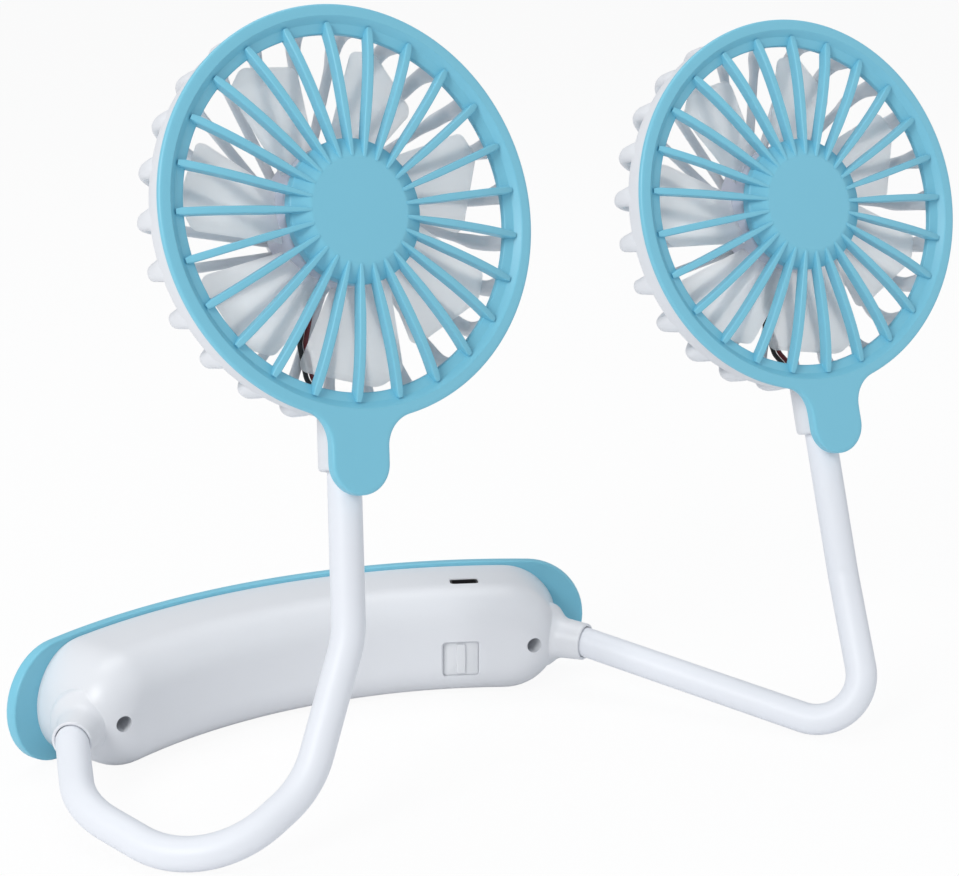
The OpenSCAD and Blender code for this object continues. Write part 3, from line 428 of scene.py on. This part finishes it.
def grain_group():
    """Fine unevenness of a moulded surface: a normal, and a factor for the colour."""
    group = bpy.data.node_groups.new("Moulded grain", "ShaderNodeTree")
    sockets = group.interface.new_socket
    for name, value in (("Scale", 400.0), ("Depth", 0.05), ("Spread", 0.04)):
        sockets(name=name, in_out="INPUT", socket_type="NodeSocketFloat").default_value = value
    sockets(name="Normal", in_out="OUTPUT", socket_type="NodeSocketVector")
    sockets(name="Factor", in_out="OUTPUT", socket_type="NodeSocketFloat")
    new, link = group.nodes.new, group.links.new
    inputs, output = new("NodeGroupInput"), new("NodeGroupOutput")
    place = new("ShaderNodeTexCoord")
    fine = new("ShaderNodeTexNoise")
    fine.inputs["Detail"].default_value = 3
    bump = new("ShaderNodeBump")
    bump.inputs["Distance"].default_value = 0.0001
    broad = new("ShaderNodeTexNoise")
    broad.inputs["Scale"].default_value = 35
    spread = new("ShaderNodeMath")
    spread.operation = "MULTIPLY_ADD"
    spread.inputs[2].default_value = 1.0
    centre = new("ShaderNodeMath")
    centre.operation = "SUBTRACT"
    centre.inputs[1].default_value = 0.5
    link(place.outputs["Object"], fine.inputs["Vector"])
    link(place.outputs["Object"], broad.inputs["Vector"])
    link(inputs.outputs["Scale"], fine.inputs["Scale"])
    link(fine.outputs[0], bump.inputs["Height"])
    link(inputs.outputs["Depth"], bump.inputs["Strength"])
    link(broad.outputs[0], centre.inputs[0])
    link(centre.outputs[0], spread.inputs[0])
    link(inputs.outputs["Spread"], spread.inputs[1])
    link(bump.outputs[0], output.inputs["Normal"])
    link(spread.outputs[0], output.inputs["Factor"])
    return group


def material(name, colour, roughness, metallic=0.0, scale=400.0, depth=0.05, **inputs):
    """A plain colour with the moulded grain; other inputs of the shader by name."""
    mat = bpy.data.materials.new(name)
    mat.use_nodes = True
    nodes, link = mat.node_tree.nodes, mat.node_tree.links.new
    shader = nodes["Principled BSDF"]
    shader.inputs["Metallic"].default_value = metallic
    shader.inputs["Roughness"].default_value = roughness
    for key, value in inputs.items():
        shader.inputs[key.replace("_", " ")].default_value = value
    grain = nodes.new("ShaderNodeGroup")
    grain.node_tree = GRAIN
    grain.inputs["Scale"].default_value = scale
    grain.inputs["Depth"].default_value = depth
    tint = nodes.new("ShaderNodeVectorMath")
    tint.operation = "SCALE"
    tint.inputs[0].default_value = colour
    link(grain.outputs["Factor"], tint.inputs["Scale"])
    link(tint.outputs[0], shader.inputs["Base Color"])
    link(grain.outputs["Normal"], shader.inputs["Normal"])
    return mat


def linear(*levels):
    """An sRGB colour, 0 to 255, as linear light."""
    return tuple(c / 255 / 12.92 if c <= 10 else ((c / 255 + 0.055) / 1.055) ** 2.4 for c in levels)


GRAIN = grain_group()
RADIAL = radial_group()
TUBE = tube_group()
BLUE = material("Blue plastic", linear(125, 199, 222), 0.4)
WHITE = material("White plastic", linear(228, 230, 234), 0.36)
SLEEVE = material("White silicone", linear(234, 237, 243), 0.46, scale=700, depth=0.08)
BLADE = material("Frosted blade plastic", linear(252, 252, 253), 0.45,
                 Transmission_Weight=0.6, IOR=1.12)
ROTOR = material("Rotor hub plastic", linear(196, 198, 212), 0.3)
BUTTON = material("Button plastic", linear(226, 228, 231), 0.32)
STEEL = material("Motor steel", linear(165, 168, 184), 0.3, 0.8, scale=900)
SPRING = material("Gooseneck steel", linear(140, 142, 148), 0.35, 0.9, scale=900)
CHROME = material("Screw steel", linear(205, 206, 210), 0.2, 1.0)
TIN = material("Tinned metal", linear(190, 192, 196), 0.28, 1.0)
BLACK = material("Black plastic", linear(28, 28, 30), 0.5)
JACKET = material("Black cable jacket", linear(24, 24, 26), 0.45)
RED = material("Dark red wire", linear(110, 30, 36), 0.4)
COPPER = material("Copper winding", linear(178, 106, 60), 0.35, 0.9, scale=1500, depth=0.3)
BRONZE = material("Bronze bush", linear(170, 130, 74), 0.35, 0.9)
WRAP = material("Cell wrapper", linear(60, 140, 110), 0.4)
BOARD = material("Circuit board", linear(24, 84, 50), 0.4)


# Places of the fan heads and of the board

def joint_point(name):
    return Vector(joints[name]["pos_m"])


def joint_axis(name):
    return Vector(joints[name]["axis"]).normalized()


def head_matrix(side):
    """The frame of a fan head: its middle, x across, z out of the front."""
    z = joint_axis(side + "_impeller_spin")
    x = joint_axis(side + "_head_nod")
    x = (x - z * x.dot(z)).normalized()
    matrix = Matrix((x, z.cross(x), z)).transposed().to_4x4()
    matrix.translation = joint_point(side + "_impeller_spin")
    return matrix


def collar_way(side):
    """Where an arm's collar points, away from the pack."""
    a = math.radians(COLLAR_ANGLE)
    return Vector((math.sin(a) * (-1 if side == "left" else 1), -math.cos(a), 0))


def turned(angle):
    """From the pack's middle to a place along its curve, with y outwards from the centre."""
    return Matrix.Translation((0, -BEND_R, 0)) @ Matrix.Rotation(math.radians(-angle), 4, "Z")


# Front grille

def head_outline():
    """Points of the ring with its tab, and for each how far it is along to the tab, 0 to 1."""
    far = RING_R + TAB_FILLET
    cx = TAB_HALF + TAB_FILLET
    cy = -math.sqrt(far * far - cx * cx)
    start = math.atan2(cy, cx)
    sweep = 2 * math.pi - 2 * abs(-math.pi / 2 - start)
    ring = []
    for i in range(OUTLINE_STEPS):
        a = start + sweep * i / OUTLINE_STEPS
        ring.append((RING_R * math.cos(a), RING_R * math.sin(a), 0.0))
    lead = start + math.pi
    half = []
    for i in range(15):
        t = i / 14
        a = lead + (math.pi - lead) * t
        half.append((cx + TAB_FILLET * math.cos(a), cy + TAB_FILLET * math.sin(a), smoothstep(t)))
    centre = -TAB_REACH + TAB_HALF
    half.append((TAB_HALF, (cy + centre) / 2, 1.0))
    for i in range(17):
        a = -math.pi / 2 * i / 16
        half.append((TAB_HALF * math.cos(a), centre + TAB_HALF * math.sin(a), 1.0))
    left = [(-x, y, t) for x, y, t in half]
    return ring + left[:-1] + list(reversed(half))


def plate():
    """Ring and tab in one piece, as loops from the front rim round to the back."""
    outline = head_outline()
    count = len(outline)
    flat = [Vector((x, y)) for x, y, _ in outline]
    normals = []
    for i in range(count):
        way = (flat[(i + 1) % count] - flat[i - 1]).normalized()
        normals.append(Vector((way.y, -way.x)))
    if normals[0].dot(flat[0]) < 0:
        normals = [-n for n in normals]
    angles = [math.atan2(p.y, p.x) for p in flat]
    backs = [-FLANGE_T - (TAB_T - FLANGE_T) * t for _, _, t in outline]

    def circle(r, z):
        return [(r * math.cos(a), r * math.sin(a), z) for a in angles]

    def edge(inset, heights):
        return [(*(p - n * inset), z) for p, n, z in zip(flat, normals, heights)]

    rows = [circle(RIM_R, 0), edge(RING_EDGE * 1.6, [0] * count)]
    for k in range(1, 7):
        a = math.pi / 2 * k / 6
        low = -RING_EDGE * 0.75 * (1 - math.cos(a))
        rows.append(edge(RING_EDGE * (1 - math.sin(a)), [low] * count))
    for k in range(5):
        a = math.pi / 2 * k / 4
        rise = RING_BACK_EDGE * (1 - math.sin(a))
        rows.append(edge(RING_BACK_EDGE * (1 - math.cos(a)), [z + rise for z in backs]))
    rows.append([(BAND_R * math.cos(a), BAND_R * math.sin(a), z) for a, z in zip(angles, backs)])
    rows.append(circle(BAND_R, -FLANGE_T))
    rows.append(circle(BAND_INNER - BAND_PLAY, -FLANGE_T))
    rows.append(circle(BAND_INNER - BAND_PLAY, RING_BACK))
    well = rounded([(OPENING_R, RING_BACK), (OPENING_R, OPENING_Z), (WALL_R, LEDGE_Z),
                    (RIM_R - 0.15, -0.1), (RIM_R + 0.5, 0)], [0.3, 0.45, 0.5, 0.3, 0], 4)
    for r, z in well[:-1]:
        rows.append(circle(r, z))
    return grid(rows)


def spoke():
    """One bar from the disc to the ledge: slim and blunt at the disc, wider outside."""
    inner, outer, steps = DISC_R - 0.1, SPOKE_END_R, 24
    path, scales = [], []
    for i in range(steps + 1):
        share = i / steps
        r = inner + (outer - inner) * share
        front = DISC_Z + SPOKE_RISE - (DISC_Z - SPOKE_END_Z) * share ** DOME_POWER
        grow = SPOKE_TIP_SHARE + (1 - SPOKE_TIP_SHARE) * min(1.0, share / 0.35) ** 0.8
        end = min(1.0, 0.7 + (outer - r) / 4.0)
        path.append((r, 0, front - SPOKE_DEPTH / 2))
        scales.append((grow * end, 1.0))
    w, d = SPOKE_W / 2, SPOKE_DEPTH / 2
    section = rounded([(w, -d), (w, d), (-w, d), (-w, -d)], [0.4, 0.85, 0.85, 0.4], 7)
    return swept(path, section, (0, 1, 0), scales)


def hub():
    """The raised disc in the middle, with its skirt."""
    inner_r, inner_z = SKIRT_R - SKIRT_T, SHOULDER_Z - SKIRT_T
    profile = rounded([(0, DISC_Z + 0.1), (DISC_R, DISC_Z), (SKIRT_R, SHOULDER_Z), (SKIRT_R, SKIRT_BACK),
                       (inner_r, SKIRT_BACK), (inner_r, inner_z), (0, inner_z)],
                      [0, 2.5, 0.7, 0.2, 0.2, 0, 0], 6)
    return lathe(profile, 128, False)


def grille_mesh():
    spokes = through(RADIAL, "Spokes", to_mesh("Spoke", spoke()),
                     count=SPOKES, phase=-math.pi / 2, material=BLUE)
    body = to_mesh("Grille body", joined(plate(), hub()))
    return smooth(merged("Grille", body, spokes), 38)


# Rear cage

def rib():
    """A rib of the cage: it rises out of the band as a wide lobe, turns in and runs to the seat."""
    top = math.sqrt((BAND_INNER + 0.1) ** 2 - RIB_OFFSET ** 2)
    low = math.sqrt((SEAT_R + 1) ** 2 - RIB_OFFSET ** 2)
    back = CAGE_BACK + RIB_T / 2
    points = rounded([(top, LOBE_START), (top, back), (low, back - 0.6)], [0, 5.0, 0], 12)
    path, scales = [], []
    for (x0, z0), (x1, z1) in zip(points, points[1:]):
        pieces = max(1, round(math.dist((x0, z0), (x1, z1)) / 1.5))
        for k in range(pieces):
            path.append((x0 + (x1 - x0) * k / pieces, RIB_OFFSET, z0 + (z1 - z0) * k / pieces))
    path.append((points[-1][0], RIB_OFFSET, points[-1][1]))
    for x, _, z in path:
        outer = smoothstep((x - LOBE_X) / LOBE_RUN)
        rise = smoothstep((LOBE_START - z) / (LOBE_START - LOBE_FULL))
        flare = smoothstep((z - back) / (LOBE_START - back))
        scales.append((1 + outer * (0.5 + 1.3 * flare), (1 + 0.6 * outer) * (0.3 + 0.7 * rise)))
    return swept(path, bar_section(RIB_W, RIB_T, 1.0), (0, 1, 0), scales)


def socket():
    """The white neck socket below the ring, with a rounded lower lip and a bore for the sleeve."""
    top, floor_y = ROTOR_R + 1.6, SOCKET_END - SOCKET_DEPTH
    profile = rounded([(0, top), (SOCKET_R, top), (SOCKET_R, SOCKET_END), (SOCKET_BORE_R, SOCKET_END),
                       (SOCKET_BORE_R, floor_y), (0, floor_y)], [0, 0.4, 0.9, 0.35, 0, 0], 5)
    place = Matrix.Translation((0, 0, NECK_Z)) @ Matrix.Rotation(math.radians(90), 4, "X")
    return moved(lathe(profile, 64, False), place)


def cage_mesh():
    band = lathe(rounded([(BAND_INNER, -FLANGE_T), (BAND_R, -FLANGE_T), (BAND_R, BAND_BACK),
                          (BAND_INNER, BAND_BACK)], [0, 0.2, 0.6, 0.4], 4), 160)
    seat_r, seat_z, floor_z = SEAT_R + SEAT_WALL, CAGE_BACK + RIB_T, SEAT_BACK + SEAT_FLOOR
    seat = lathe(rounded([(SEAT_R, seat_z), (seat_r, seat_z), (seat_r, SEAT_BACK), (SHAFT_HOLE_R, SEAT_BACK),
                          (SHAFT_HOLE_R, floor_z), (SEAT_R, floor_z)],
                         [0.2, 0.5, 1.6, 0.3, 0, 0], 5), 96)
    ribs = through(RADIAL, "Ribs", to_mesh("Rib", rib()), count=SPOKES,
                   phase=-math.pi / 2 + math.pi / SPOKES, material=WHITE)
    body = to_mesh("Cage body", joined(band, seat, socket()))
    return smooth(merged("Cage", body, ribs), 38)


# Impeller

def two_tone(name, first, first_material, second, second_material):
    """Two meshes in one, each in its own material."""
    out = merged(name, first, second)
    out.materials.append(first_material)
    out.materials.append(second_material)
    for face in out.polygons:
        face.material_index = 0 if face.index < len(first.polygons) else 1
    return smooth(out, 40)


def blade():
    """A flat, slightly dished paddle with a straight leading edge, widening towards its tip."""
    root = HUB_R - 1.2
    outline = rounded([(root, 9.6), (ROTOR_R - 3.4, 9.75), (ROTOR_R - 0.4, 3.2), (ROTOR_R - 7.2, -15.1),
                       (root, -4.0)], [0, 2.6, 4.5, 2.2, 0], 8)
    cx, cy = BLADE_MIDDLE
    cos, sin = math.cos(math.radians(BLADE_PITCH)), math.sin(math.radians(BLADE_PITCH))

    def layer(side):
        out = []
        for k in range(BLADE_RINGS, 0, -1):
            share = k / BLADE_RINGS
            edge = math.sqrt(max(0.0, 1 - share ** 14))
            for x, y in outline:
                px, py = cx + (x - cx) * share, cy + (y - cy) * share
                z = side * BLADE_HALF_T * edge + BLADE_DISH * (1 - (py + 2.7) ** 2 / 156)
                out.append((px, py * cos - z * sin, py * sin + z * cos + BLADE_Z))
        return out

    n = len(outline)
    points = layer(1) + layer(-1)[n:]
    faces = []
    for k in range(BLADE_RINGS - 1):
        for i in range(n):
            j = (i + 1) % n
            faces.append((k * n + i, k * n + j, (k + 1) * n + j, (k + 1) * n + i))
            low = BLADE_RINGS * n + (k - 1) * n
            if k == 0:
                faces.append((i, BLADE_RINGS * n + i, BLADE_RINGS * n + j, j))
            else:
                faces.append((low + i, low + n + i, low + n + j, low + j))
    faces.append(tuple(range((BLADE_RINGS - 1) * n, BLADE_RINGS * n)))
    faces.append(tuple(range(len(points) - n, len(points))))
    return points, faces


def impeller_mesh():
    blades = through(RADIAL, "Blades", to_mesh("Blade", blade()),
                     count=BLADES, phase=math.radians(BLADE_PHASE), material=BLADE)
    inner_r, inner_z = HUB_R - HUB_WALL, HUB_FRONT - HUB_WALL
    profile = rounded([(SHAFT_R, HUB_FRONT), (HUB_R, HUB_FRONT), (HUB_R, HUB_BACK), (inner_r, HUB_BACK),
                       (inner_r, inner_z), (SHAFT_R, inner_z)], [0, 0.8, 0.4, 0.4, 0.6, 0], 5)
    return two_tone("Impeller", to_mesh("Rotor hub", lathe(profile, 96)), ROTOR, blades, BLADE)


# Wires behind the impeller

def line_mesh(name, points):
    """A mesh of edges through points."""
    mesh = bpy.data.meshes.new(name)
    edges = [(i, i + 1) for i in range(len(points) - 1)]
    mesh.from_pydata([p * MM for p in points], edges, [])
    return mesh


def wires_mesh():
    """The motor's black and red wires, led down behind the blades and into the socket."""
    meshes = []
    for x, mat in ((-0.75, JACKET), (0.75, RED)):
        route = [Vector(p) + Vector((x, 0.25 * x, 0)) for p in WIRE_ROUTE]
        meshes.append(through(TUBE, "Wire", line_mesh("Wire", bend_points(route, WIRE_BEND)),
                              radius=WIRE_R * MM, sides=12, closed_ends=True, material=mat))
    return two_tone("Wires", meshes[0], JACKET, meshes[1], RED)


# Pack

def stadium(profile, half_angle, middle):
    """A profile of (radius, half height) carried along the pack's arc and round its two ends."""
    arc_steps, cap_steps = 72, 28
    turn = math.radians(half_angle)
    rows = []
    for r, h in profile:
        row = []
        for side in (1, -1):
            for i in range(arc_steps):
                a = side * turn * (2 * i / arc_steps - 1)
                row.append((r * math.sin(a), r * math.cos(a) - BEND_R, middle + side * h))
            a = turn * side
            out = Vector((math.cos(a), -math.sin(a), 0)) * side
            foot = Vector((r * math.sin(a), r * math.cos(a) - BEND_R, middle))
            for i in range(cap_steps):
                t = math.pi * i / cap_steps
                rise = Vector((0, 0, side * h * math.cos(t)))
                row.append(tuple(foot + out * (h * math.sin(t)) + rise))
        rows.append(row)
    return grid(rows, False, True)


def collar_place(side):
    """The collar's frame: z outwards along it, the origin at its tip."""
    z = collar_way(side)
    x = Vector((0, 0, 1)).cross(z)
    matrix = Matrix((x, z.cross(x), z)).transposed().to_4x4()
    matrix.translation = joint_point(side + "_base_sweep") / MM
    return matrix


def boxed(width, height, low, flare, radius):
    """A rounded square cutter along z, from low to past z = 0, where it is wider by flare."""
    rows = []
    for z, grow in ((low, 0), (-2 * flare, 0), (-flare, flare * 0.25), (0, flare), (3, flare * 4)):
        rows.append(at_height(bar_section(width + 2 * grow, height + 2 * grow, radius + grow), z))
    return capped(rows)


def boolean(obj, other_mesh, operation):
    """The object joined with or cut by a mesh, as a new object."""
    tool = put("Tool", other_mesh)
    modifier = obj.modifiers.new(operation, "BOOLEAN")
    modifier.operation = operation
    modifier.solver = "EXACT"
    modifier.object = tool
    mesh = evaluated(obj)
    bpy.data.objects.remove(tool)
    return put("Shell", mesh)


def facing_front():
    """From z forwards to the pack's front."""
    return Matrix.Rotation(math.radians(90), 4, "X")


def button_place():
    return turned(BOARD_ANGLE) @ Matrix.Translation((BUTTON_X, FRONT_R, BUTTON_Z)) @ facing_front()


def port_place():
    return turned(BOARD_ANGLE) @ Matrix.Translation((0, PORT_RADIUS, SHELL_H))


def shell_mesh():
    profile = rounded([(PARTING_R, 0), (PARTING_R, SHELL_H / 2), (FRONT_R, SHELL_H / 2), (FRONT_R, 0)],
                      [0, 0.25, 10.5, 0], 14)
    obj = put("Shell", to_mesh("Shell", stadium(profile, SHELL_ANGLE, SHELL_H / 2)))
    collar = lathe(rounded([(0, -16), (9.5, -16), (8.6, -10.6), (5.5, -7.2), (4.95, 0.3), (4.2, 0.3),
                            (4.2, -2), (0, -2)], [0, 0, 2.5, 5, 0.35, 0.3, 0, 0], 8), 96, False)
    for side in SIDES:
        obj = boolean(obj, to_mesh("Collar", moved(collar, collar_place(side))), "UNION")
    cuts = [moved(boxed(POCKET_W, POCKET_W, -POCKET_DEPTH, 0.45, 0.8), button_place()),
            moved(boxed(PORT_W, PORT_T, -8, 0.2, 0.9), port_place())]
    hole = lathe(rounded([(0, -12), (SCREW_HOLE_R, -12), (SCREW_HOLE_R, -0.5), (2.5, 0.05),
                          (4.5, 3), (0, 3)], [0, 0, 0.6, 0, 0, 0], 5), 48, False)
    hole_y = math.sqrt(FRONT_R ** 2 - SCREW_X ** 2) - BEND_R
    for x in (-SCREW_X, SCREW_X):
        cuts.append(moved(hole, Matrix.Translation((x, hole_y, SCREW_Z)) @ facing_front()))
    obj = boolean(obj, to_mesh("Cuts", joined(*cuts)), "DIFFERENCE")
    return smooth(evaluated(obj), 34)


def cover_mesh():
    inner = PARTING_R + 0.05
    profile = rounded([(inner, 0), (inner, COVER_H / 2), (BACK_R, COVER_H / 2), (BACK_R, 0)],
                      [0, 0.5, 1.3, 0], 6)
    return smooth(to_mesh("Cover", stadium(profile, COVER_ANGLE, COVER_H / 2)), 40)


def port_shade_mesh():
    """Black cup just inside the slot of the shell: painted shade that darkens the opening of the charge
    port.
    """
    width, height = PORT_W - 0.05, PORT_T - 0.05
    inner_w, inner_h = PORT_W - 2 * PORT_WALL, PORT_T - 2 * PORT_WALL
    outer, inner = bar_section(width, height, 0.6), bar_section(inner_w, inner_h, 0.6)
    wall = grid([at_height(outer, -0.35), at_height(outer, -1.9),
                 at_height(inner, -1.9), at_height(inner, -0.35)])
    plug = bar_section(inner_w + 0.1, inner_h + 0.1, 0.6)
    base = capped([at_height(plug, -1.9), at_height(plug, -1.6)])
    return smooth(to_mesh("Port", moved(joined(wall, base), port_place())), 40)


def button_mesh():
    """A square cap with a round-edged ridge across its middle."""
    cap, ridge = [], []
    for z, inset in ((-6, 0), (-1.6, 0), (-1.35, 0.08), (-1.25, 0.3)):
        width = BUTTON_W - 2 * inset
        cap.append(at_height(bar_section(width, width, 0.7), z))
    for z, inset in ((-1.6, 0), (-0.8, 0.05), (-0.55, 0.25), (-0.5, 0.5)):
        ridge.append(at_height(bar_section(RIDGE_W - 2 * inset, RIDGE_H - 2 * inset, 0.6 - inset), z))
    return smooth(to_mesh("Button", moved(joined(capped(cap), capped(ridge)), button_place())), 40)


# Arms

def bend_points(corners, radius):
    """A path through corner points, with round corners."""
    path = [Vector(corners[0])]
    for a, b, c in zip(corners, corners[1:], corners[2:]):
        u, v = (b - a).normalized(), (c - b).normalized()
        angle = u.angle(v)
        start = b - u * radius * math.tan(angle / 2)
        w = (v - u * u.dot(v)).normalized()
        count = max(6, round(radius * angle / PATH_STEP))
        for k in range(count + 1):
            turn = angle * k / count
            path.append(start + u * radius * math.sin(turn) + w * radius * (1 - math.cos(turn)))
    path.append(Vector(corners[-1]))
    return path


def dense(path):
    """A path with more points between those that it has."""
    out = []
    for a, b in zip(path, path[1:]):
        count = max(1, round((b - a).length / TUBE_STEP))
        out += [a.lerp(b, k / count) for k in range(count)]
    return out + [path[-1]]


def nearest(path, point):
    return min(range(len(path)), key=lambda i: (path[i] - point).length)


def neck_point(side, reach):
    """A point on the line of the neck, below the middle of the head."""
    return head_matrix(side) @ (Vector((0, -reach, NECK_Z)) * MM) / MM


def arm(side):
    """The four sleeve lengths of an arm, cut from one path before the hinges, each in place of a CAD sleeve
    node.
    """
    hinges = [joint_point(f"{side}_{name}") / MM for name in HINGES]
    corners = [hinges[0]] + [Vector(p) for p in CORNERS[side]]
    corners += [neck_point(side, NECK_CORNER), neck_point(side, SOCKET_END - 4.5)]
    path = [hinges[0] - collar_way(side) * k for k in (1.9, 1.2, 0.6)]
    path += dense(bend_points(corners, CORNER_R[side]))
    cuts = [nearest(path, p) - round(s / TUBE_STEP) for p, s in zip(hinges[1:], CUTS_BEFORE)]
    cuts = [0] + cuts + [len(path) - 1]
    for i, (node, blend) in enumerate(zip(("lower", "upper", "neck", "tip"), BLENDS)):
        name = f"{side}_sleeve_{i + 1}"
        mesh = through(TUBE, name, line_mesh(name, path[cuts[i]:cuts[i + 1] + 1]),
                       radius=TUBE_R * MM, sides=48, closed_ends=False, material=SLEEVE)
        obj = put(name, mesh, SLEEVE)
        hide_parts(f"{side}_sleeve_{node}")
        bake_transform(obj)


# The object

def show(name, mesh, paint, node, body, matrix=None):
    """A piece that rides with a body and takes the place of a CAD node, if one is given."""
    obj = put(name, mesh, paint, matrix)
    if node:
        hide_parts(node)
    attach(obj, body)


HEAD_PIECES = ((grille_mesh(), BLUE, "front_grille", "blue_plastic", "head"),
               (cage_mesh(), WHITE, "rear_cage", "white_shell", "head"),
               (impeller_mesh(), None, "impeller", "blade", "rotor"),
               (wires_mesh(), None, "motor_leads", "lead_red", "head"))
for side in SIDES:
    for mesh, paint, node, slot_name, body in HEAD_PIECES:
        node, body = f"{side}_{node}", f"{side}_{body}"
        show(node + "_shown", mesh, paint, node, body, head_matrix(side))

show("pack_shell", shell_mesh(), WHITE, "front_shell", "pack")
show("pack_cover", cover_mesh(), BLUE, "back_cover", "pack")
show("pack_button", button_mesh(), BUTTON, "power_button", "button")
# The black cup in the charge port's slot is painted shade of the deep opening, not a part of the port.
show("charge_port_cup", port_shade_mesh(), BLACK, None, "pack")

for side in SIDES:
    arm(side)

INNER = {"battery_cell": WRAP, "circuit_board": BOARD, "charge_socket": TIN, "tact_switch": BLACK,
         "board_screws": CHROME, "cover_screws": CHROME, "arm_ferrules": TIN, "pack_cables": JACKET,
         "cell_leads": RED, "core_root": SPRING, "core_lower": SPRING, "core_upper": SPRING,
         "core_neck": SPRING, "core_tip": SPRING, "cable_lower": JACKET, "cable_upper": JACKET,
         "cable_neck": JACKET, "cable_tip": JACKET, "motor_can": STEEL, "motor_cap": BLACK,
         "motor_rotor": COPPER, "motor_bushes": BRONZE, "motor_screws": CHROME}
for node, obj in frame["nodes"].items():
    key = node.split("_", 1)[1] if node.startswith(SIDES) else node
    if key in INNER:
        obj.data.materials.clear()
        obj.data.materials.append(INNER[key])


# Floor, lights and camera

def floor_material():
    """Pale floor: nearly white to the camera, with a faint shadow of the object."""
    mat = bpy.data.materials.new("Floor")
    mat.use_nodes = True
    nodes, link = mat.node_tree.nodes, mat.node_tree.links.new
    shader = nodes["Principled BSDF"]
    shader.inputs["Base Color"].default_value = (0.9, 0.9, 0.91, 1)
    shader.inputs["Roughness"].default_value = 0.8
    glow = nodes.new("ShaderNodeEmission")
    glow.inputs["Strength"].default_value = 1.0
    mix = nodes.new("ShaderNodeMixShader")
    path = nodes.new("ShaderNodeLightPath")
    share = nodes.new("ShaderNodeMath")
    share.operation = "MULTIPLY"
    share.inputs[1].default_value = FLOOR_GLOW
    seen = nodes.new("ShaderNodeMath")
    seen.operation = "MAXIMUM"
    link(path.outputs["Is Camera Ray"], seen.inputs[0])
    link(path.outputs["Is Transmission Ray"], seen.inputs[1])
    link(seen.outputs[0], share.inputs[0])
    link(share.outputs[0], mix.inputs[0])
    link(shader.outputs[0], mix.inputs[1])
    link(glow.outputs[0], mix.inputs[2])
    link(mix.outputs[0], nodes["Material Output"].inputs["Surface"])
    return mat


def floor():
    """A wide floor, in metres, just below the object."""
    mesh = bpy.data.meshes.new("Floor")
    s = FLOOR_HALF
    mesh.from_pydata([(-s, -s, 0), (s, -s, 0), (s, s, 0), (-s, s, 0)], [], [(0, 1, 2, 3)])
    obj = put("Floor", mesh, floor_material())
    obj.location.z = -FLOOR_GAP


def lamp(name, place, target, size, power, colour=(1, 1, 1)):
    """A soft rectangular lamp turned to a target, in metres and watts."""
    data = bpy.data.lights.new(name, "AREA")
    data.shape = "RECTANGLE"
    data.size, data.size_y = size
    data.energy = power
    data.color = colour
    obj = bpy.data.objects.new(name, data)
    bpy.context.scene.collection.objects.link(obj)
    obj.location = place
    obj.rotation_euler = (Vector(target) - Vector(place)).to_track_quat("-Z", "Y").to_euler()


def world():
    """Soft sky light; white where the camera sees it, directly or through the blades."""
    studio = bpy.data.worlds.new("Studio")
    bpy.context.scene.world = studio
    studio.use_nodes = True
    nodes, link = studio.node_tree.nodes, studio.node_tree.links.new
    back = nodes["Background"]
    back.inputs["Color"].default_value = (0.93, 0.96, 1.0, 1)
    back.inputs["Strength"].default_value = 0.44
    white = nodes.new("ShaderNodeBackground")
    white.inputs["Strength"].default_value = 1.0
    mix = nodes.new("ShaderNodeMixShader")
    path = nodes.new("ShaderNodeLightPath")
    seen = nodes.new("ShaderNodeMath")
    seen.operation = "MAXIMUM"
    link(path.outputs["Is Camera Ray"], seen.inputs[0])
    link(path.outputs["Is Transmission Ray"], seen.inputs[1])
    link(seen.outputs[0], mix.inputs[0])
    link(back.outputs[0], mix.inputs[1])
    link(white.outputs[0], mix.inputs[2])
    link(mix.outputs[0], nodes["World Output"].inputs["Surface"])


def camera():
    """The photo's camera, as fitted to the rings, tubes and pack."""
    data = bpy.data.cameras.new("Camera")
    data.sensor_fit = "HORIZONTAL"
    data.sensor_width = SENSOR
    data.lens = LENS_PIXELS / PICTURE_PIXELS * SENSOR
    data.clip_end = 20
    obj = bpy.data.objects.new("Camera", data)
    bpy.context.scene.collection.objects.link(obj)
    right = Vector((0.88295, -0.46947, 0.0)).normalized()
    forward = Vector((0.45347, 0.85286, -0.25882)).normalized()
    up = right.cross(forward)
    matrix = Matrix((right, up, -forward)).transposed().to_4x4()
    matrix.translation = Vector((-0.1994, -0.4802, 0.212))
    obj.matrix_world = matrix
    bpy.context.scene.camera = obj


floor()
lamp("Key", (-1.2, -0.7, 0.95), (0.03, -0.05, 0.08), (0.6, 0.6), 13.0, (1.0, 0.995, 0.985))
lamp("Fill", (0.9, -0.8, 0.5), (0.05, -0.05, 0.08), (0.9, 0.9), 1.6, (0.95, 0.98, 1.0))
lamp("Top", (0.0, 0.3, 1.3), (0.03, -0.05, 0.05), (1.0, 0.6), 5.0)
world()
camera()
bpy.context.scene.view_settings.view_transform = "Standard"
